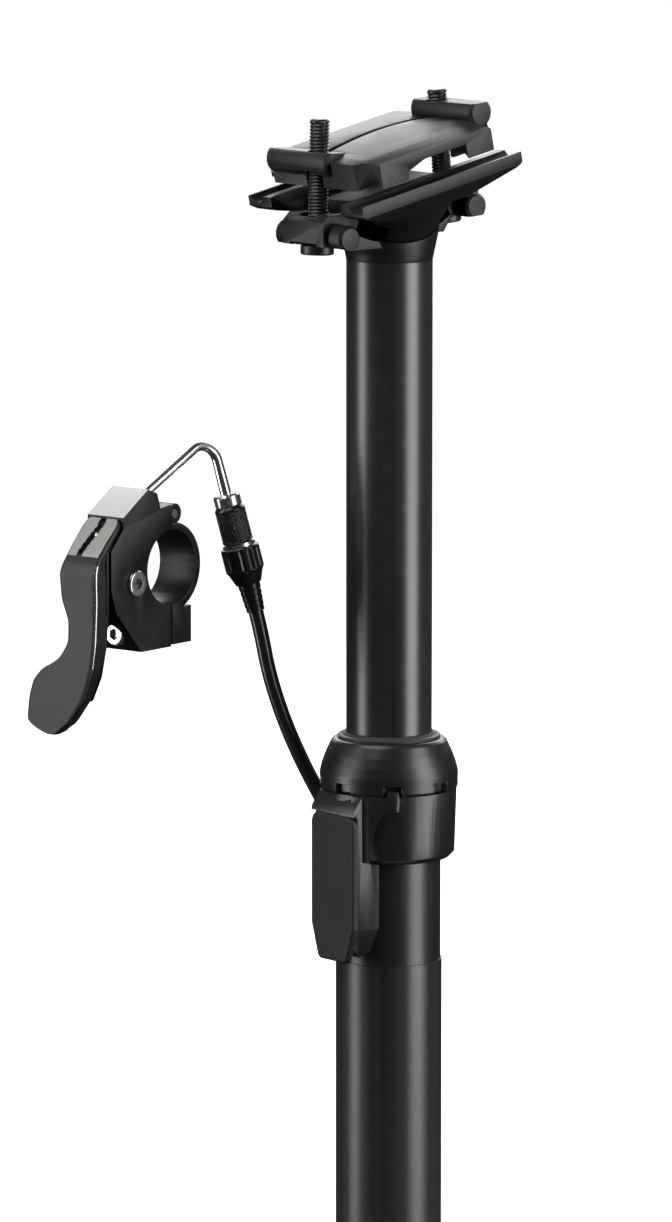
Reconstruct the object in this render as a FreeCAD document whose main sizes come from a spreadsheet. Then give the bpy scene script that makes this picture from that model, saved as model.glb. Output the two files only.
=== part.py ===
import FreeCAD, Part
import math
import os

import Sketcher
from FreeCAD import Placement, Rotation, Vector

# Dropper seatpost with its handlebar lever, in millimetres.
# +Z runs up the post, the origin is the centre of the mast's lower end, -X is the front of the
# bicycle and -Y its left side. Every moving group is drawn in its rest place: post fully up,
# saddle clamp tipped nose up, lever released.

SIZES = {
    # mast and stanchion
    "mast_radius": 15.8,
    "mast_bore": 14.0,
    "mast_length": 229.0,
    "collar_seat_radius": 15.4,
    "collar_seat_start": 184.0,
    "stanchion_radius": 12.7,
    "stanchion_bore": 11.0,
    "foot_height": 150.0,
    "neck_height": 392.3,
    "travel": 135.0,
    "running_gap": 0.05,
    "guide_height": 12.0,
    "key_width": 2.4,
    "key_depth": 0.6,
    "keyway_radius": 14.9,
    "keyway_start": 16.0,
    # collar
    "collar_base": 215.0,
    "collar_height": 20.5,
    "collar_radius": 20.1,
    "collar_taper": 0.6,
    "collar_chamfer": 1.5,
    "thread_radius": 17.0,
    "thread_height": 6.5,
    "cap_radius": 20.5,
    "cap_belt": 5.1,
    "cap_height": 15.0,
    "cap_shoulder_radius": 18.6,
    "cap_rim_radius": 16.3,
    "foam_radius": 15.4,
    "seal_radius": 15.2,
    "seal_seat_radius": 14.8,
    "seal_rise": 1.8,
    # cable actuator at the front of the collar
    "actuator_reach": 22.2,
    "actuator_half_width": 9.65,
    "actuator_low": 185.5,
    "actuator_high": 229.8,
    "cover_thickness": 2.0,
    "pocket_half_width": 7.6,
    "pocket_depth": 3.6,
    "actuator_pivot_height": 214.0,
    "actuator_pivot_side": -3.5,
    "actuator_pin_radius": 1.2,
    # gas cartridge
    "cartridge_radius": 10.0,
    "cartridge_bore": 8.5,
    "cartridge_length": 226.0,
    "gland_height": 10.0,
    "shaft_radius": 4.5,
    "valve_pin_radius": 1.5,
    "piston_height": 8.0,
    "piston_base": 180.0,
    "plug_floor": 8.0,
    "plug_height": 14.0,
    "plug_skirt_bore": 12.2,
    "shaft_nut_height": 4.0,
    "shaft_nut_radius": 7.0,
    "release_pivot_reach": 6.5,
    "release_pin_radius": 1.0,
    "transfer_cable_radius": 0.4,
    # saddle clamp
    "clamp_center_x": -5.5,
    "clamp_center_rise": 42.0,
    "clamp_tilt": 12.0,
    "seat_arc": 36.0,
    "rail_radius": 3.5,
    "rail_offset": 22.0,
    "rail_drop": 15.5,
    "rail_play": 0.05,
    "cradle_half_length": 31.0,
    "cradle_half_width": 26.0,
    "cradle_top_drop": 17.0,
    "plate_half_length": 26.0,
    "plate_inner": 1.2,
    "plate_outer": 25.2,
    "plate_top_drop": 3.7,
    "bolt_radius": 3.0,
    "bolt_length": 34.0,
    "bolt_slot": 3.7,
    "nut_radius": 4.3,
    "nut_long_end": 19.5,
    "nut_short_end": 8.0,
    "washer_radius": 4.0,
    "washer_half_length": 15.0,
    "front_pivot_x": -27.5,
    "front_pivot_rise": 8.6,
    "front_lean": 1.5,
    "front_nut_lift": 21.6,
    "rear_pivot_x": 21.0,
    "rear_pivot_rise": 15.3,
    "rear_lean": -4.8,
    "rear_nut_lift": 28.0,
    # handlebar lever
    "lever_x": -58.2,
    "lever_y": 38.4,
    "lever_height": 302.8,
    "lever_turn": 12.0,
    "bar_radius": 11.1,
    "clamp_half_width": 6.8,
    "strap_wall": 2.2,
    "cheek_inner": 4.0,
    "lever_pivot_x": -16.2,
    "lever_pivot_z": -3.0,
    "pivot_bolt_radius": 2.5,
    "clamp_screw_radius": 2.0,
    "clamp_screw_drop": 18.3,
    "hinge_pin_radius": 1.25,
    "hinge_knuckle_radius": 3.0,
    "arm_face_x": -34.6,
    "arm_thickness": 6.0,
    # barrel adjuster and cable
    "noodle_radius": 1.6,
    "noodle_bend": 6.0,
    "adjuster_radius": 4.6,
    "lock_nut_radius": 5.8,
    "ferrule_radius": 3.3,
    "cable_radius": 2.25,
}


class Length:
    """A size that knows its value and the sheet expression it comes from."""

    def __init__(self, value, text):
        self.value = float(value)
        self.text = text

    @staticmethod
    def of(item):
        return item if isinstance(item, Length) else Length(item, repr(float(item)))

    def join(self, other, sign, value):
        return Length(value, f"({self.text} {sign} {other.text})")

    def __add__(self, other):
        other = Length.of(other)
        return self.join(other, "+", self.value + other.value)

    def __sub__(self, other):
        other = Length.of(other)
        return self.join(other, "-", self.value - other.value)

    def __mul__(self, other):
        other = Length.of(other)
        return self.join(other, "*", self.value * other.value)

    def __truediv__(self, other):
        other = Length.of(other)
        return self.join(other, "/", self.value / other.value)

    def __radd__(self, other):
        return Length.of(other) + self

    def __rsub__(self, other):
        return Length.of(other) - self

    def __rmul__(self, other):
        return Length.of(other) * self

    def __neg__(self):
        return Length.of(0.0) - self


class Sizes:
    """The spreadsheet of driving sizes, each readable as a Length."""

    def __init__(self, document, values):
        self.sheet = document.addObject("Spreadsheet::Sheet", "Sizes")
        for row, (name, value) in enumerate(values.items(), start=1):
            self.sheet.set(f"A{row}", name)
            self.sheet.set(f"B{row}", str(value))
            self.sheet.setAlias(f"B{row}", name)
            setattr(self, name, Length(value, f"Sizes.{name}"))
        document.recompute()


doc = FreeCAD.newDocument("dropper_seatpost")
size = Sizes(doc, SIZES)
nodes = []

X_AXIS = Vector(1, 0, 0)
Y_AXIS = Vector(0, 1, 0)
Z_AXIS = Vector(0, 0, 1)
UPRIGHT = Rotation()
ALONG_X = Rotation(Y_AXIS, 90)
ALONG_Y = Rotation(X_AXIS, -90)


# ---------------------------------------------------------------- helpers

def bind(item, name, length):
    """Set a property from a Length, so that it follows the sheet."""
    item.setExpression(name, Length.of(length).text)


def place(item, x=0, y=0, z=0, turn=UPRIGHT, around=0):
    """Put an object at a place that follows the sheet, turned about the post axis last."""
    x, y = Length.of(x), Length.of(y)
    turn_cos = math.cos(math.radians(around))
    turn_sin = math.sin(math.radians(around))
    item.Placement = Placement(Vector(0, 0, 0), Rotation(Z_AXIS, around) * turn)
    bind(item, "Placement.Base.x", x * turn_cos - y * turn_sin)
    bind(item, "Placement.Base.y", x * turn_sin + y * turn_cos)
    bind(item, "Placement.Base.z", z)
    return item


def cylinder(radius, height, x=0, y=0, z=0, turn=UPRIGHT):
    item = doc.addObject("Part::Cylinder", "cylinder")
    bind(item, "Radius", radius)
    bind(item, "Height", height)
    return place(item, x, y, z, turn)


def cross_cylinder(radius, half_length, x=0, z=0):
    """A cylinder along Y, centred on the XZ plane."""
    return cylinder(radius, half_length * 2, x, -Length.of(half_length), z, ALONG_Y)


def box(low, high, around=0):
    """A box from its low to its high corner, turned about the post axis."""
    item = doc.addObject("Part::Box", "box")
    for name, start, end in zip(("Length", "Width", "Height"), low, high):
        bind(item, name, Length.of(end) - start)
    return place(item, *low, around=around)


def aimed_cylinder(radius, height, start, direction):
    """A cylinder that starts at a point and runs along a direction."""
    item = doc.addObject("Part::Cylinder", "cylinder")
    bind(item, "Radius", radius)
    bind(item, "Height", height)
    item.Placement = Placement(start, Rotation(Z_AXIS, direction))
    return item


def fuse(label, items):
    item = doc.addObject("Part::MultiFuse", label)
    item.Shapes = items
    return item


def cut(label, base, tools):
    item = doc.addObject("Part::Cut", label)
    item.Base = base
    item.Tool = tools[0] if len(tools) == 1 else fuse(label + "_tools", tools)
    return item


def common(label, first, second):
    item = doc.addObject("Part::MultiCommon", label)
    item.Shapes = [first, second]
    return item


def plain(label, shape):
    """A shape made with Part's own functions."""
    item = doc.addObject("Part::Feature", label)
    item.Shape = shape
    return item


def plane_of(body, role):
    return next(item for item in body.Origin.OriginFeatures if item.Role == role)


def outline_sketch(body, role, outline):
    """A closed outline of straight edges whose corners follow the sheet."""
    sketch = body.newObject("Sketcher::SketchObject", "outline")
    sketch.AttachmentSupport = [(plane_of(body, role), "")]
    sketch.MapMode = "FlatFace"
    corners = [(Length.of(a), Length.of(b)) for a, b in outline]
    points = [Vector(a.value, b.value, 0) for a, b in corners]
    for start, end in zip(points, points[1:] + points[:1]):
        sketch.addGeometry(Part.LineSegment(start, end), False)
    count = len(points)
    for index in range(count):
        sketch.addConstraint(Sketcher.Constraint("Coincident", index, 2, (index + 1) % count, 1))
    for index, (across, up) in enumerate(corners):
        for kind, length in (("DistanceX", across), ("DistanceY", up)):
            number = sketch.addConstraint(
                Sketcher.Constraint(kind, -1, 1, index, 1, length.value))
            sketch.setExpression(f"Constraints[{number}]", length.text)
    return sketch


def turned(label, outline):
    """A lathe part: a (radius, height) outline turned about the post axis."""
    body = doc.addObject("PartDesign::Body", label)
    sketch = outline_sketch(body, "XZ_Plane", outline)
    feature = body.newObject("PartDesign::Revolution", "turning")
    feature.Profile = sketch
    feature.ReferenceAxis = (sketch, ["V_Axis"])
    feature.Angle = 360
    return body


def ring(label, inner, outer, low, high):
    return turned(label, [(inner, low), (outer, low), (outer, high), (inner, high)])


def milled(label, role, outline, half_width):
    """An outline on one of the origin planes, padded to both sides."""
    body = doc.addObject("PartDesign::Body", label)
    sketch = outline_sketch(body, role, outline)
    feature = body.newObject("PartDesign::Pad", "thickness")
    feature.Profile = sketch
    feature.SideType = "Symmetric"
    bind(feature, "Length", Length.of(half_width) * 2)
    return body


def node(label, item, frame=None):
    """Register a finished sub-part under its node name."""
    item.Label = label
    if frame is not None:
        item.Placement = frame
    nodes.append(item)
    return item


def prism(points, thickness):
    """A face through the given points, extruded by a vector."""
    return Part.Face(Part.makePolygon(points + points[:1])).extrude(thickness)


def round_wire(points, radii):
    """Straight runs through the points, joined by tangent arcs of the given radii."""
    edges = []
    start = points[0]
    for before, corner, after, radius in zip(points, points[1:], points[2:], radii):
        into = (corner - before).normalize()
        out = (after - corner).normalize()
        half_turn = into.getAngle(out) / 2
        reach = radius * math.tan(half_turn)
        enter = corner - into * reach
        leave = corner + out * reach
        inward = (out - into).normalize()
        middle = corner + inward * (radius / math.cos(half_turn) - radius)
        edges.append(Part.LineSegment(start, enter).toShape())
        edges.append(Part.Arc(enter, middle, leave).toShape())
        start = leave
    edges.append(Part.LineSegment(start, points[-1]).toShape())
    return Part.Wire(edges)


def bend_radii(points):
    """The largest tangent arcs that the runs beside each point allow."""
    radii = []
    for before, corner, after in zip(points, points[1:], points[2:]):
        shorter = min((corner - before).Length, (after - corner).Length)
        turn = (corner - before).getAngle(after - corner)
        radii.append(0.45 * shorter / math.tan(turn / 2))
    return radii


def tube_along(wire, radius, start, direction):
    """A round solid along a wire."""
    section = Part.Wire(Part.makeCircle(radius, start, direction))
    return wire.makePipeShell([section], True, True)


# ---------------------------------------------------------------- mast and stanchion

KEY_ANGLES = (0, 120, 240)
CABLE_PATH_X = -(size.stanchion_radius + size.mast_bore) / 2
COLLAR_TOP = size.collar_base + size.collar_height
SEAL_TOP = COLLAR_TOP + size.cap_height + size.seal_rise
BUSH_BORE = size.stanchion_radius + size.running_gap
LOWER_BUSH_RADIUS = size.mast_bore - size.running_gap
CABLE_WINDOW_LOW = size.collar_base - 19
CABLE_WINDOW_HIGH = size.collar_base - 7
CARTRIDGE_BASE = size.foot_height + 8
RELEASE_PIVOT_HEIGHT = size.plug_floor - 3
RELEASE_LEVER_TOP = RELEASE_PIVOT_HEIGHT + 1.0


def key_boxes(inner, outer, low, high, side_gap=0.0):
    """One box per guide key, set round the post axis."""
    half = size.key_width / 2 + side_gap
    return [box((inner, -half, low), (outer, half, high), around=angle) for angle in KEY_ANGLES]


def make_mast():
    wall = size.mast_radius
    tube = turned("mast_tube", [
        (size.mast_bore, 0), (wall, 0), (wall, size.collar_seat_start),
        (size.collar_seat_radius, size.collar_seat_start),
        (size.collar_seat_radius, size.mast_length), (size.mast_bore, size.mast_length)])
    keyways = key_boxes(size.mast_bore - 1, size.keyway_radius, size.keyway_start,
                        size.collar_seat_start - 6, size.running_gap)
    window = box((-size.mast_radius - 1, -1.2, CABLE_WINDOW_LOW),
                 (-size.mast_bore + 1, 1.2, CABLE_WINDOW_HIGH))
    node("mast", cut("mast", tube, keyways + [window]))


def make_stanchion():
    tube = ring("stanchion_tube", size.stanchion_bore, size.stanchion_radius,
                size.foot_height, size.neck_height)
    key_low = size.foot_height + 1.5
    key_high = size.foot_height + size.guide_height - 1.5
    pocket_floor = size.stanchion_radius - size.key_depth
    pockets = key_boxes(pocket_floor, size.stanchion_radius + 1, key_low, key_high)
    node("stanchion", cut("stanchion", tube, pockets))
    keys = key_boxes(pocket_floor, size.keyway_radius - size.running_gap, key_low, key_high)
    node("guide_keys", fuse("guide_keys", keys))

    sleeve = ring("lower_bushing_ring", size.stanchion_radius, LOWER_BUSH_RADIUS,
                  size.foot_height, size.foot_height + size.guide_height)
    slots = key_boxes(pocket_floor, size.mast_radius, key_low, key_high)
    cable_slot = box((-size.mast_bore - 1, -1.0, size.foot_height - 1),
                     (-size.stanchion_radius + 0.1, 1.0, size.foot_height + size.guide_height + 1))
    node("lower_bushing", cut("lower_bushing", sleeve, slots + [cable_slot]))

    node("upper_bushing", ring("upper_bushing", BUSH_BORE, size.mast_bore,
                               size.collar_base + 7, COLLAR_TOP + size.thread_height - 0.5))
    node("stanchion_foot", ring("stanchion_foot", size.shaft_nut_radius + 0.8,
                                size.stanchion_bore, size.foot_height, CARTRIDGE_BASE))


# ---------------------------------------------------------------- gas cartridge and release

def make_cartridge():
    top = CARTRIDGE_BASE + size.cartridge_length
    node("cartridge_body", ring("cartridge_body", size.cartridge_bore, size.cartridge_radius,
                                CARTRIDGE_BASE, top))
    node("cartridge_gland", ring("cartridge_gland", size.shaft_radius + size.running_gap,
                                 size.cartridge_bore, CARTRIDGE_BASE,
                                 CARTRIDGE_BASE + size.gland_height))
    node("cartridge_top_nut", turned("cartridge_top_nut", [
        (0, top - 12), (size.cartridge_bore, top - 12), (size.cartridge_bore, top),
        (size.stanchion_bore, top), (size.stanchion_bore, top + 4), (0, top + 4)]))
    valve_bore = size.valve_pin_radius + size.running_gap
    piston_radius = size.cartridge_bore - size.running_gap
    piston_top = size.piston_base + size.piston_height
    node("cartridge_shaft", turned("cartridge_shaft", [
        (valve_bore, size.plug_floor), (size.shaft_radius, size.plug_floor),
        (size.shaft_radius, size.piston_base), (piston_radius, size.piston_base),
        (piston_radius, piston_top), (valve_bore, piston_top)]))
    node("release_pin", turned("release_pin", [
        (0, RELEASE_LEVER_TOP), (size.valve_pin_radius, RELEASE_LEVER_TOP),
        (size.valve_pin_radius, size.plug_height + 46), (0, size.plug_height + 46)]))


def make_shaft_nut():
    body = doc.addObject("Part::Prism", "nut_blank")
    body.Polygon = 6
    bind(body, "Circumradius", size.shaft_nut_radius)
    bind(body, "Height", size.shaft_nut_height)
    place(body, 0, 0, size.plug_height)
    bore = cylinder(size.shaft_radius, size.shaft_nut_height + 2, 0, 0, size.plug_height - 1)
    node("shaft_nut", cut("shaft_nut", body, [bore]))


def make_end_plug():
    plug = turned("plug_turning", [
        (size.shaft_radius, size.plug_floor), (size.plug_skirt_bore, size.plug_floor),
        (size.plug_skirt_bore, 0), (size.mast_bore, 0), (size.mast_bore, size.plug_height),
        (size.shaft_radius, size.plug_height)])
    pin_hole = cross_cylinder(size.release_pin_radius, size.mast_bore,
                              size.release_pivot_reach, RELEASE_PIVOT_HEIGHT)
    cable_slot = box((-size.mast_bore - 1, -3, -1),
                     (-size.plug_skirt_bore + 1.2, 3, size.plug_height + 1))
    node("mast_end_plug", cut("mast_end_plug", plug, [pin_hole, cable_slot]))
    pin_half = size.plug_skirt_bore - 0.9
    node("release_pivot_pin", cross_cylinder(size.release_pin_radius, pin_half,
                                             size.release_pivot_reach, RELEASE_PIVOT_HEIGHT))


def make_release_lever():
    """The bar under the valve pin, lifted at its front end by the transfer cable."""
    top = RELEASE_LEVER_TOP - 0.02
    front = CABLE_PATH_X + 0.75
    bar = box((front, -2.6, top - 2), (size.release_pivot_reach + 2, 2.6, top))
    hub = cross_cylinder(2.2, 2.6, size.release_pivot_reach, RELEASE_PIVOT_HEIGHT)
    bore = cross_cylinder(size.release_pin_radius + size.running_gap, 5,
                          size.release_pivot_reach, RELEASE_PIVOT_HEIGHT)
    fork = box((front - 1, -0.8, top - 3), (front + 1.6, 0.8, top + 1))
    node("release_lever", cut("release_lever", fuse("release_blank", [bar, hub]), [bore, fork]))


def make_transfer_cable():
    """The thin wire from the actuator lever, in through the window and down beside the stanchion."""
    outside = -(size.actuator_reach - size.cover_thickness - size.pocket_depth / 2).value
    inside = CABLE_PATH_X.value
    top = (size.actuator_pivot_height - 2.2).value
    nipple_height = (RELEASE_PIVOT_HEIGHT - 1.95).value
    points = [Vector(outside, 0, top), Vector(outside, 0, CABLE_WINDOW_HIGH.value - 1),
              Vector(inside, 0, CABLE_WINDOW_LOW.value + 2), Vector(inside, 0, nipple_height)]
    wire = round_wire(points, [6.0, 6.0])
    cable = tube_along(wire, size.transfer_cable_radius.value, points[0], Vector(0, 0, -1))
    nipple = cross_bar(0.55, 1.4, points[-1])
    node("transfer_cable", plain("transfer_cable", cable.fuse(nipple)))


# ---------------------------------------------------------------- collar and actuator

TAB_ANGLE = 233
HORN_ANGLE = 220
NOTCH_STEP = 45
ACTUATOR_FACE = -(size.actuator_reach - size.cover_thickness)

# The cable housing runs from the lever's ferrule to the port at the collar's back left.
CABLE_ROUTE = [
    Vector(-24.46, 33.59, 289.93), Vector(-22.69, 32.10, 280.70), Vector(-20.79, 30.77, 267.80),
    Vector(-17.57, 28.07, 254.50), Vector(-13.70, 24.43, 242.00), Vector(-9.36, 20.27, 230.50),
    Vector(-6.22, 17.63, 223.00),
]
PORT_DEPTH = 4.0
PORT_DIRECTION = (CABLE_ROUTE[-2] - CABLE_ROUTE[-1]).normalize()


def horn_blank():
    """The hooked web from the actuator body up into a notch of the cap."""
    rise = size.collar_base.value
    outward = Rotation(Z_AXIS, HORN_ANGLE).multVec(X_AXIS)
    along = Rotation(Z_AXIS, HORN_ANGLE + 90).multVec(X_AXIS)
    outline = [(-8, 1), (-2.6, 1), (-1.6, 7), (-0.4, 12), (1.4, 14.8), (3.6, 16), (6.2, 16.4),
               (6.5, 19.5), (6.2, 22.1), (3.2, 22.1), (2.8, 20.4), (-8, 20.4)]
    return prism([outward * 15.8 + along * u + Vector(0, 0, rise + z) for u, z in outline],
                 outward * 10)


def make_collar():
    base = size.collar_base
    seat = size.collar_seat_radius
    low_radius = size.collar_radius - size.collar_taper
    thread_top = COLLAR_TOP + size.thread_height
    ring_part = turned("collar_ring", [
        (seat, base), (low_radius - size.collar_chamfer, base),
        (low_radius, base + size.collar_chamfer), (size.collar_radius, COLLAR_TOP),
        (size.thread_radius, COLLAR_TOP), (size.thread_radius, thread_top),
        (size.mast_bore, thread_top), (size.mast_bore, size.mast_length),
        (seat, size.mast_length)])
    low, high = size.actuator_low, size.actuator_high
    tail_side = milled("actuator_side", "XZ_Plane", [
        (-12, low + 3), (-17.5, low + 1.5), (ACTUATOR_FACE, low + 4.5), (ACTUATOR_FACE, high),
        (ACTUATOR_FACE - 1.8, high), (ACTUATOR_FACE - 1.4, high + 1.6),
        (-18.6, COLLAR_TOP - 0.1), (-12, COLLAR_TOP - 0.1)], size.actuator_half_width + 1)
    half = size.actuator_half_width
    tail_front = milled("actuator_front", "YZ_Plane", [
        (-half, low + 10.5), (-6.5, low), (6.5, low), (half, low + 10.5),
        (half, COLLAR_TOP), (-half, COLLAR_TOP)], size.actuator_reach + 3)
    tail = common("actuator_body", tail_side, tail_front)
    horn_shell = cylinder(size.cap_radius + 0.5, size.collar_height + 2, 0, 0, base + 1)
    cap_wall = cylinder(18.4, 6, 0, 0, COLLAR_TOP)
    horn_bar = common("horn_bar", plain("horn_outline", horn_blank()), horn_shell)
    horn = cut("collar_horn", horn_bar, [cap_wall])
    boss_start = CABLE_ROUTE[-1] - PORT_DIRECTION * 5
    boss = aimed_cylinder(size.cable_radius + 1.05, PORT_DEPTH + 5, boss_start, PORT_DIRECTION)
    blank = fuse("collar_blank", [ring_part, tail, horn, boss])

    mast_room = cylinder(seat, size.mast_length - low + 2, 0, 0, low - 2)
    bush_room = cylinder(size.mast_bore, 40, 0, 0, size.mast_length - 1)
    pocket = box((ACTUATOR_FACE - 1, -size.pocket_half_width, low + 5.5),
                 (ACTUATOR_FACE + size.pocket_depth, size.pocket_half_width, high - 3.8))
    wire_way = box((ACTUATOR_FACE, -1.2, CABLE_WINDOW_LOW), (-14, 1.2, CABLE_WINDOW_HIGH))
    port = aimed_cylinder(size.cable_radius, 12, CABLE_ROUTE[-1], PORT_DIRECTION)
    tools = [mast_room, bush_room, pocket, wire_way, port]
    node("collar_housing", cut("collar_housing", blank, tools))


def make_cap_and_seals():
    cap_base, rim = COLLAR_TOP, COLLAR_TOP + size.cap_height
    thread_room = cap_base + size.thread_height + 0.5
    lip = BUSH_BORE + 0.45
    cap = turned("cap_turning", [
        (size.thread_radius, cap_base), (size.cap_radius - 0.3, cap_base),
        (size.cap_radius, cap_base + 0.8), (size.cap_radius, cap_base + size.cap_belt),
        (size.cap_shoulder_radius, cap_base + 11), (size.cap_rim_radius + 0.8, rim - 0.8),
        (size.cap_rim_radius, rim), (size.seal_seat_radius, rim),
        (size.seal_seat_radius, rim - 1.9), (lip, rim - 1.9), (lip, rim - 3.1),
        (size.foam_radius, rim - 3.1), (size.foam_radius, thread_room),
        (size.thread_radius, thread_room)])
    notches = [box((18.3, -2.5, cap_base - 1), (size.cap_radius + 2, 2.5, cap_base + 3.2),
                   around=TAB_ANGLE + NOTCH_STEP * index) for index in range(360 // NOTCH_STEP)]
    node("collar_cap", cut("collar_cap", cap, notches))
    node("foam_ring", ring("foam_ring", BUSH_BORE, size.foam_radius, thread_room, rim - 3.1))
    seal_top = rim + size.seal_rise
    node("wiper_seal", turned("wiper_seal", [
        (BUSH_BORE, rim - 1.9), (size.seal_seat_radius, rim - 1.9), (size.seal_seat_radius, rim),
        (size.seal_radius, rim), (size.seal_radius, seal_top - 0.8),
        (size.stanchion_radius + 0.8, seal_top), (BUSH_BORE, seal_top - 0.3)]))


def make_actuator():
    low, high = size.actuator_low.value, size.actuator_high.value
    half, reach = size.actuator_half_width.value, size.actuator_reach.value
    corners = [(-half, low + 10.5), (-6.5, low), (6.5, low), (half, low + 10.5),
               (half, high), (-half, high)]
    cover = prism([Vector(-reach, y, z) for y, z in corners],
                  Vector(size.cover_thickness.value, 0, 0))
    across = [edge for edge in cover.Edges if abs(edge.tangentAt(0).x) > 0.99]
    top_edges = [edge for edge in across if edge.CenterOfMass.z > high - 1]
    cover = cover.makeFillet(3.5, top_edges)
    across = [edge for edge in cover.Edges if len(edge.Vertexes) == 2
              and abs(edge.tangentAt(edge.FirstParameter).x) > 0.99
              and edge.CenterOfMass.z < low + 1]
    cover = cover.makeFillet(2.0, across)
    front = [edge for edge in cover.Edges if edge.BoundBox.XMax < -reach + 0.01]
    node("actuator_cover", plain("actuator_cover", cover.makeFillet(0.8, front)))

    y, z = size.actuator_pivot_side, size.actuator_pivot_height
    pin = cylinder(size.actuator_pin_radius, size.pocket_depth, ACTUATOR_FACE, y, z, ALONG_X)
    node("actuator_pivot_pin", pin)
    plate_start = ACTUATOR_FACE + 0.4
    plate = size.pocket_depth - 1.0
    arm = box((plate_start, y, z - 1.6), (plate_start + plate, y + 8.5, z + 1.6))
    hub = cylinder(3.0, plate, plate_start, y, z, ALONG_X)
    tip = cylinder(2.2, plate, plate_start, y + 8.5, z, ALONG_X)
    bore = cylinder(size.actuator_pin_radius + size.running_gap, plate + 2, plate_start - 1,
                    y, z, ALONG_X)
    node("actuator_lever", cut("actuator_lever", fuse("actuator_blank", [arm, hub, tip]), [bore]))


# ---------------------------------------------------------------- head and saddle clamp

NECK = size.neck_height.value
CLAMP_CENTER = Vector(size.clamp_center_x.value, 0, NECK + size.clamp_center_rise.value)
CLAMP_FRAME = Placement(CLAMP_CENTER, Rotation(Y_AXIS, -size.clamp_tilt.value))
SEAT_RADIUS = size.seat_arc.value
SEAT_HALF_ANGLE = 18.0
SEAT_SWEEP = (-25.5, 36.5)
RELIEF_DROP = 4.3
SPIGOT_DEPTH = NECK - (CARTRIDGE_BASE + size.cartridge_length + 4).value
RAIL_ROOM = size.rail_radius.value + size.rail_play.value


def bolt_frame(pivot_x, pivot_rise, lean):
    """The frame of a clamp bolt: its origin at the washer, +Z up the bolt."""
    origin = Vector(pivot_x.value, 0, NECK + pivot_rise.value)
    return Placement(origin, Rotation(Y_AXIS, lean.value))


FRONT_BOLT = bolt_frame(size.front_pivot_x, size.front_pivot_rise, size.front_lean)
REAR_BOLT = bolt_frame(size.rear_pivot_x, size.rear_pivot_rise, size.rear_lean)
FRONT_NUT = FRONT_BOLT.multVec(Vector(0, 0, size.front_nut_lift.value))
REAR_NUT = REAR_BOLT.multVec(Vector(0, 0, size.rear_nut_lift.value))


def slab(x_low, x_high, y_low, y_high, z_low, z_high):
    corner = Vector(x_low, y_low, z_low)
    return Part.makeBox(x_high - x_low, y_high - y_low, z_high - z_low, corner)


def cross_bar(radius, half_length, center):
    """A round bar along Y."""
    return Part.makeCylinder(radius, 2 * half_length, center - Y_AXIS * half_length, Y_AXIS)


def seat_wedge(radius, half_width, start, end):
    """A slice of a cylinder about the clamp centre, between two angles from straight down."""
    first = CLAMP_CENTER + Rotation(Y_AXIS, -start).multVec(Vector(0, 0, -radius))
    middle = CLAMP_CENTER + Rotation(Y_AXIS, -(start + end) / 2).multVec(Vector(0, 0, -radius))
    last = CLAMP_CENTER + Rotation(Y_AXIS, -end).multVec(Vector(0, 0, -radius))
    edges = [Part.LineSegment(CLAMP_CENTER, first).toShape(),
             Part.Arc(first, middle, last).toShape(),
             Part.LineSegment(last, CLAMP_CENTER).toShape()]
    face = Part.Face(Part.Wire(edges))
    face.translate(-Y_AXIS * half_width)
    return face.extrude(Y_AXIS * 2 * half_width)


def oval(center_x, half_x, half_y, height):
    return Part.Wire(Part.Ellipse(Vector(center_x, 0, height), half_x, half_y).toShape())


def make_post_head():
    """The forged head: a spigot in the stanchion, a flared neck, a round seat and two ears."""
    neck_radius = size.stanchion_radius.value
    spigot = Part.makeCylinder(size.stanchion_bore.value, SPIGOT_DEPTH + 1,
                               Vector(0, 0, NECK - SPIGOT_DEPTH))
    sections = [(0, neck_radius, neck_radius, 0), (0, neck_radius + 0.5, neck_radius + 0.49, 2.5),
                (-0.6, neck_radius + 2.6, neck_radius + 0.9, 7), (-3.6, 21.0, 13.2, 14),
                (-4.2, 23.0, 13.0, 18)]
    bowl = Part.makeLoft([oval(x, a + 0.01, b, NECK + rise) for x, a, b, rise in sections], True)
    front = prism([Vector(x, -9, NECK + z) for x, z in (
        (-33, 6.2), (-33, 13.2), (-30.6, 15.4), (-10, 15.4), (-8, 4.6), (-22, 4.6))],
        Y_AXIS * 18)
    rear = prism([Vector(x, -9, NECK + z) for x, z in (
        (4, 8), (13.2, 8), (16, 12), (26.6, 13), (26.6, 19.4), (25, 21.2), (4, 21.2))],
        Y_AXIS * 18)
    head = spigot.fuse([bowl, front, rear])
    head = head.cut(seat_wedge(SEAT_RADIUS + size.running_gap.value, 40, *SEAT_SWEEP))
    head = head.cut(cross_bar(SEAT_RADIUS - RELIEF_DROP + 0.5, 40, CLAMP_CENTER))
    for frame in (FRONT_BOLT, REAR_BOLT):
        pivot = frame.Base
        room = size.washer_radius.value + size.running_gap.value
        head = head.cut(cross_bar(room, 20, pivot))
        head = head.cut(slab(pivot.x - room, pivot.x + room, -20, 20, pivot.z - 12, pivot.z))
        head = head.cut(slab(pivot.x - room, pivot.x + room, -3.4, 3.4, pivot.z, pivot.z + 20))
        head = head.cut(slab(pivot.x - 6, pivot.x + 6, -6, 6, pivot.z - 12, pivot.z - 1.6))
    node("post_head", plain("post_head", head))


def mirrored_pair(shape):
    return shape.fuse(shape.mirror(Vector(0, 0, 0), Y_AXIS))


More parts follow.
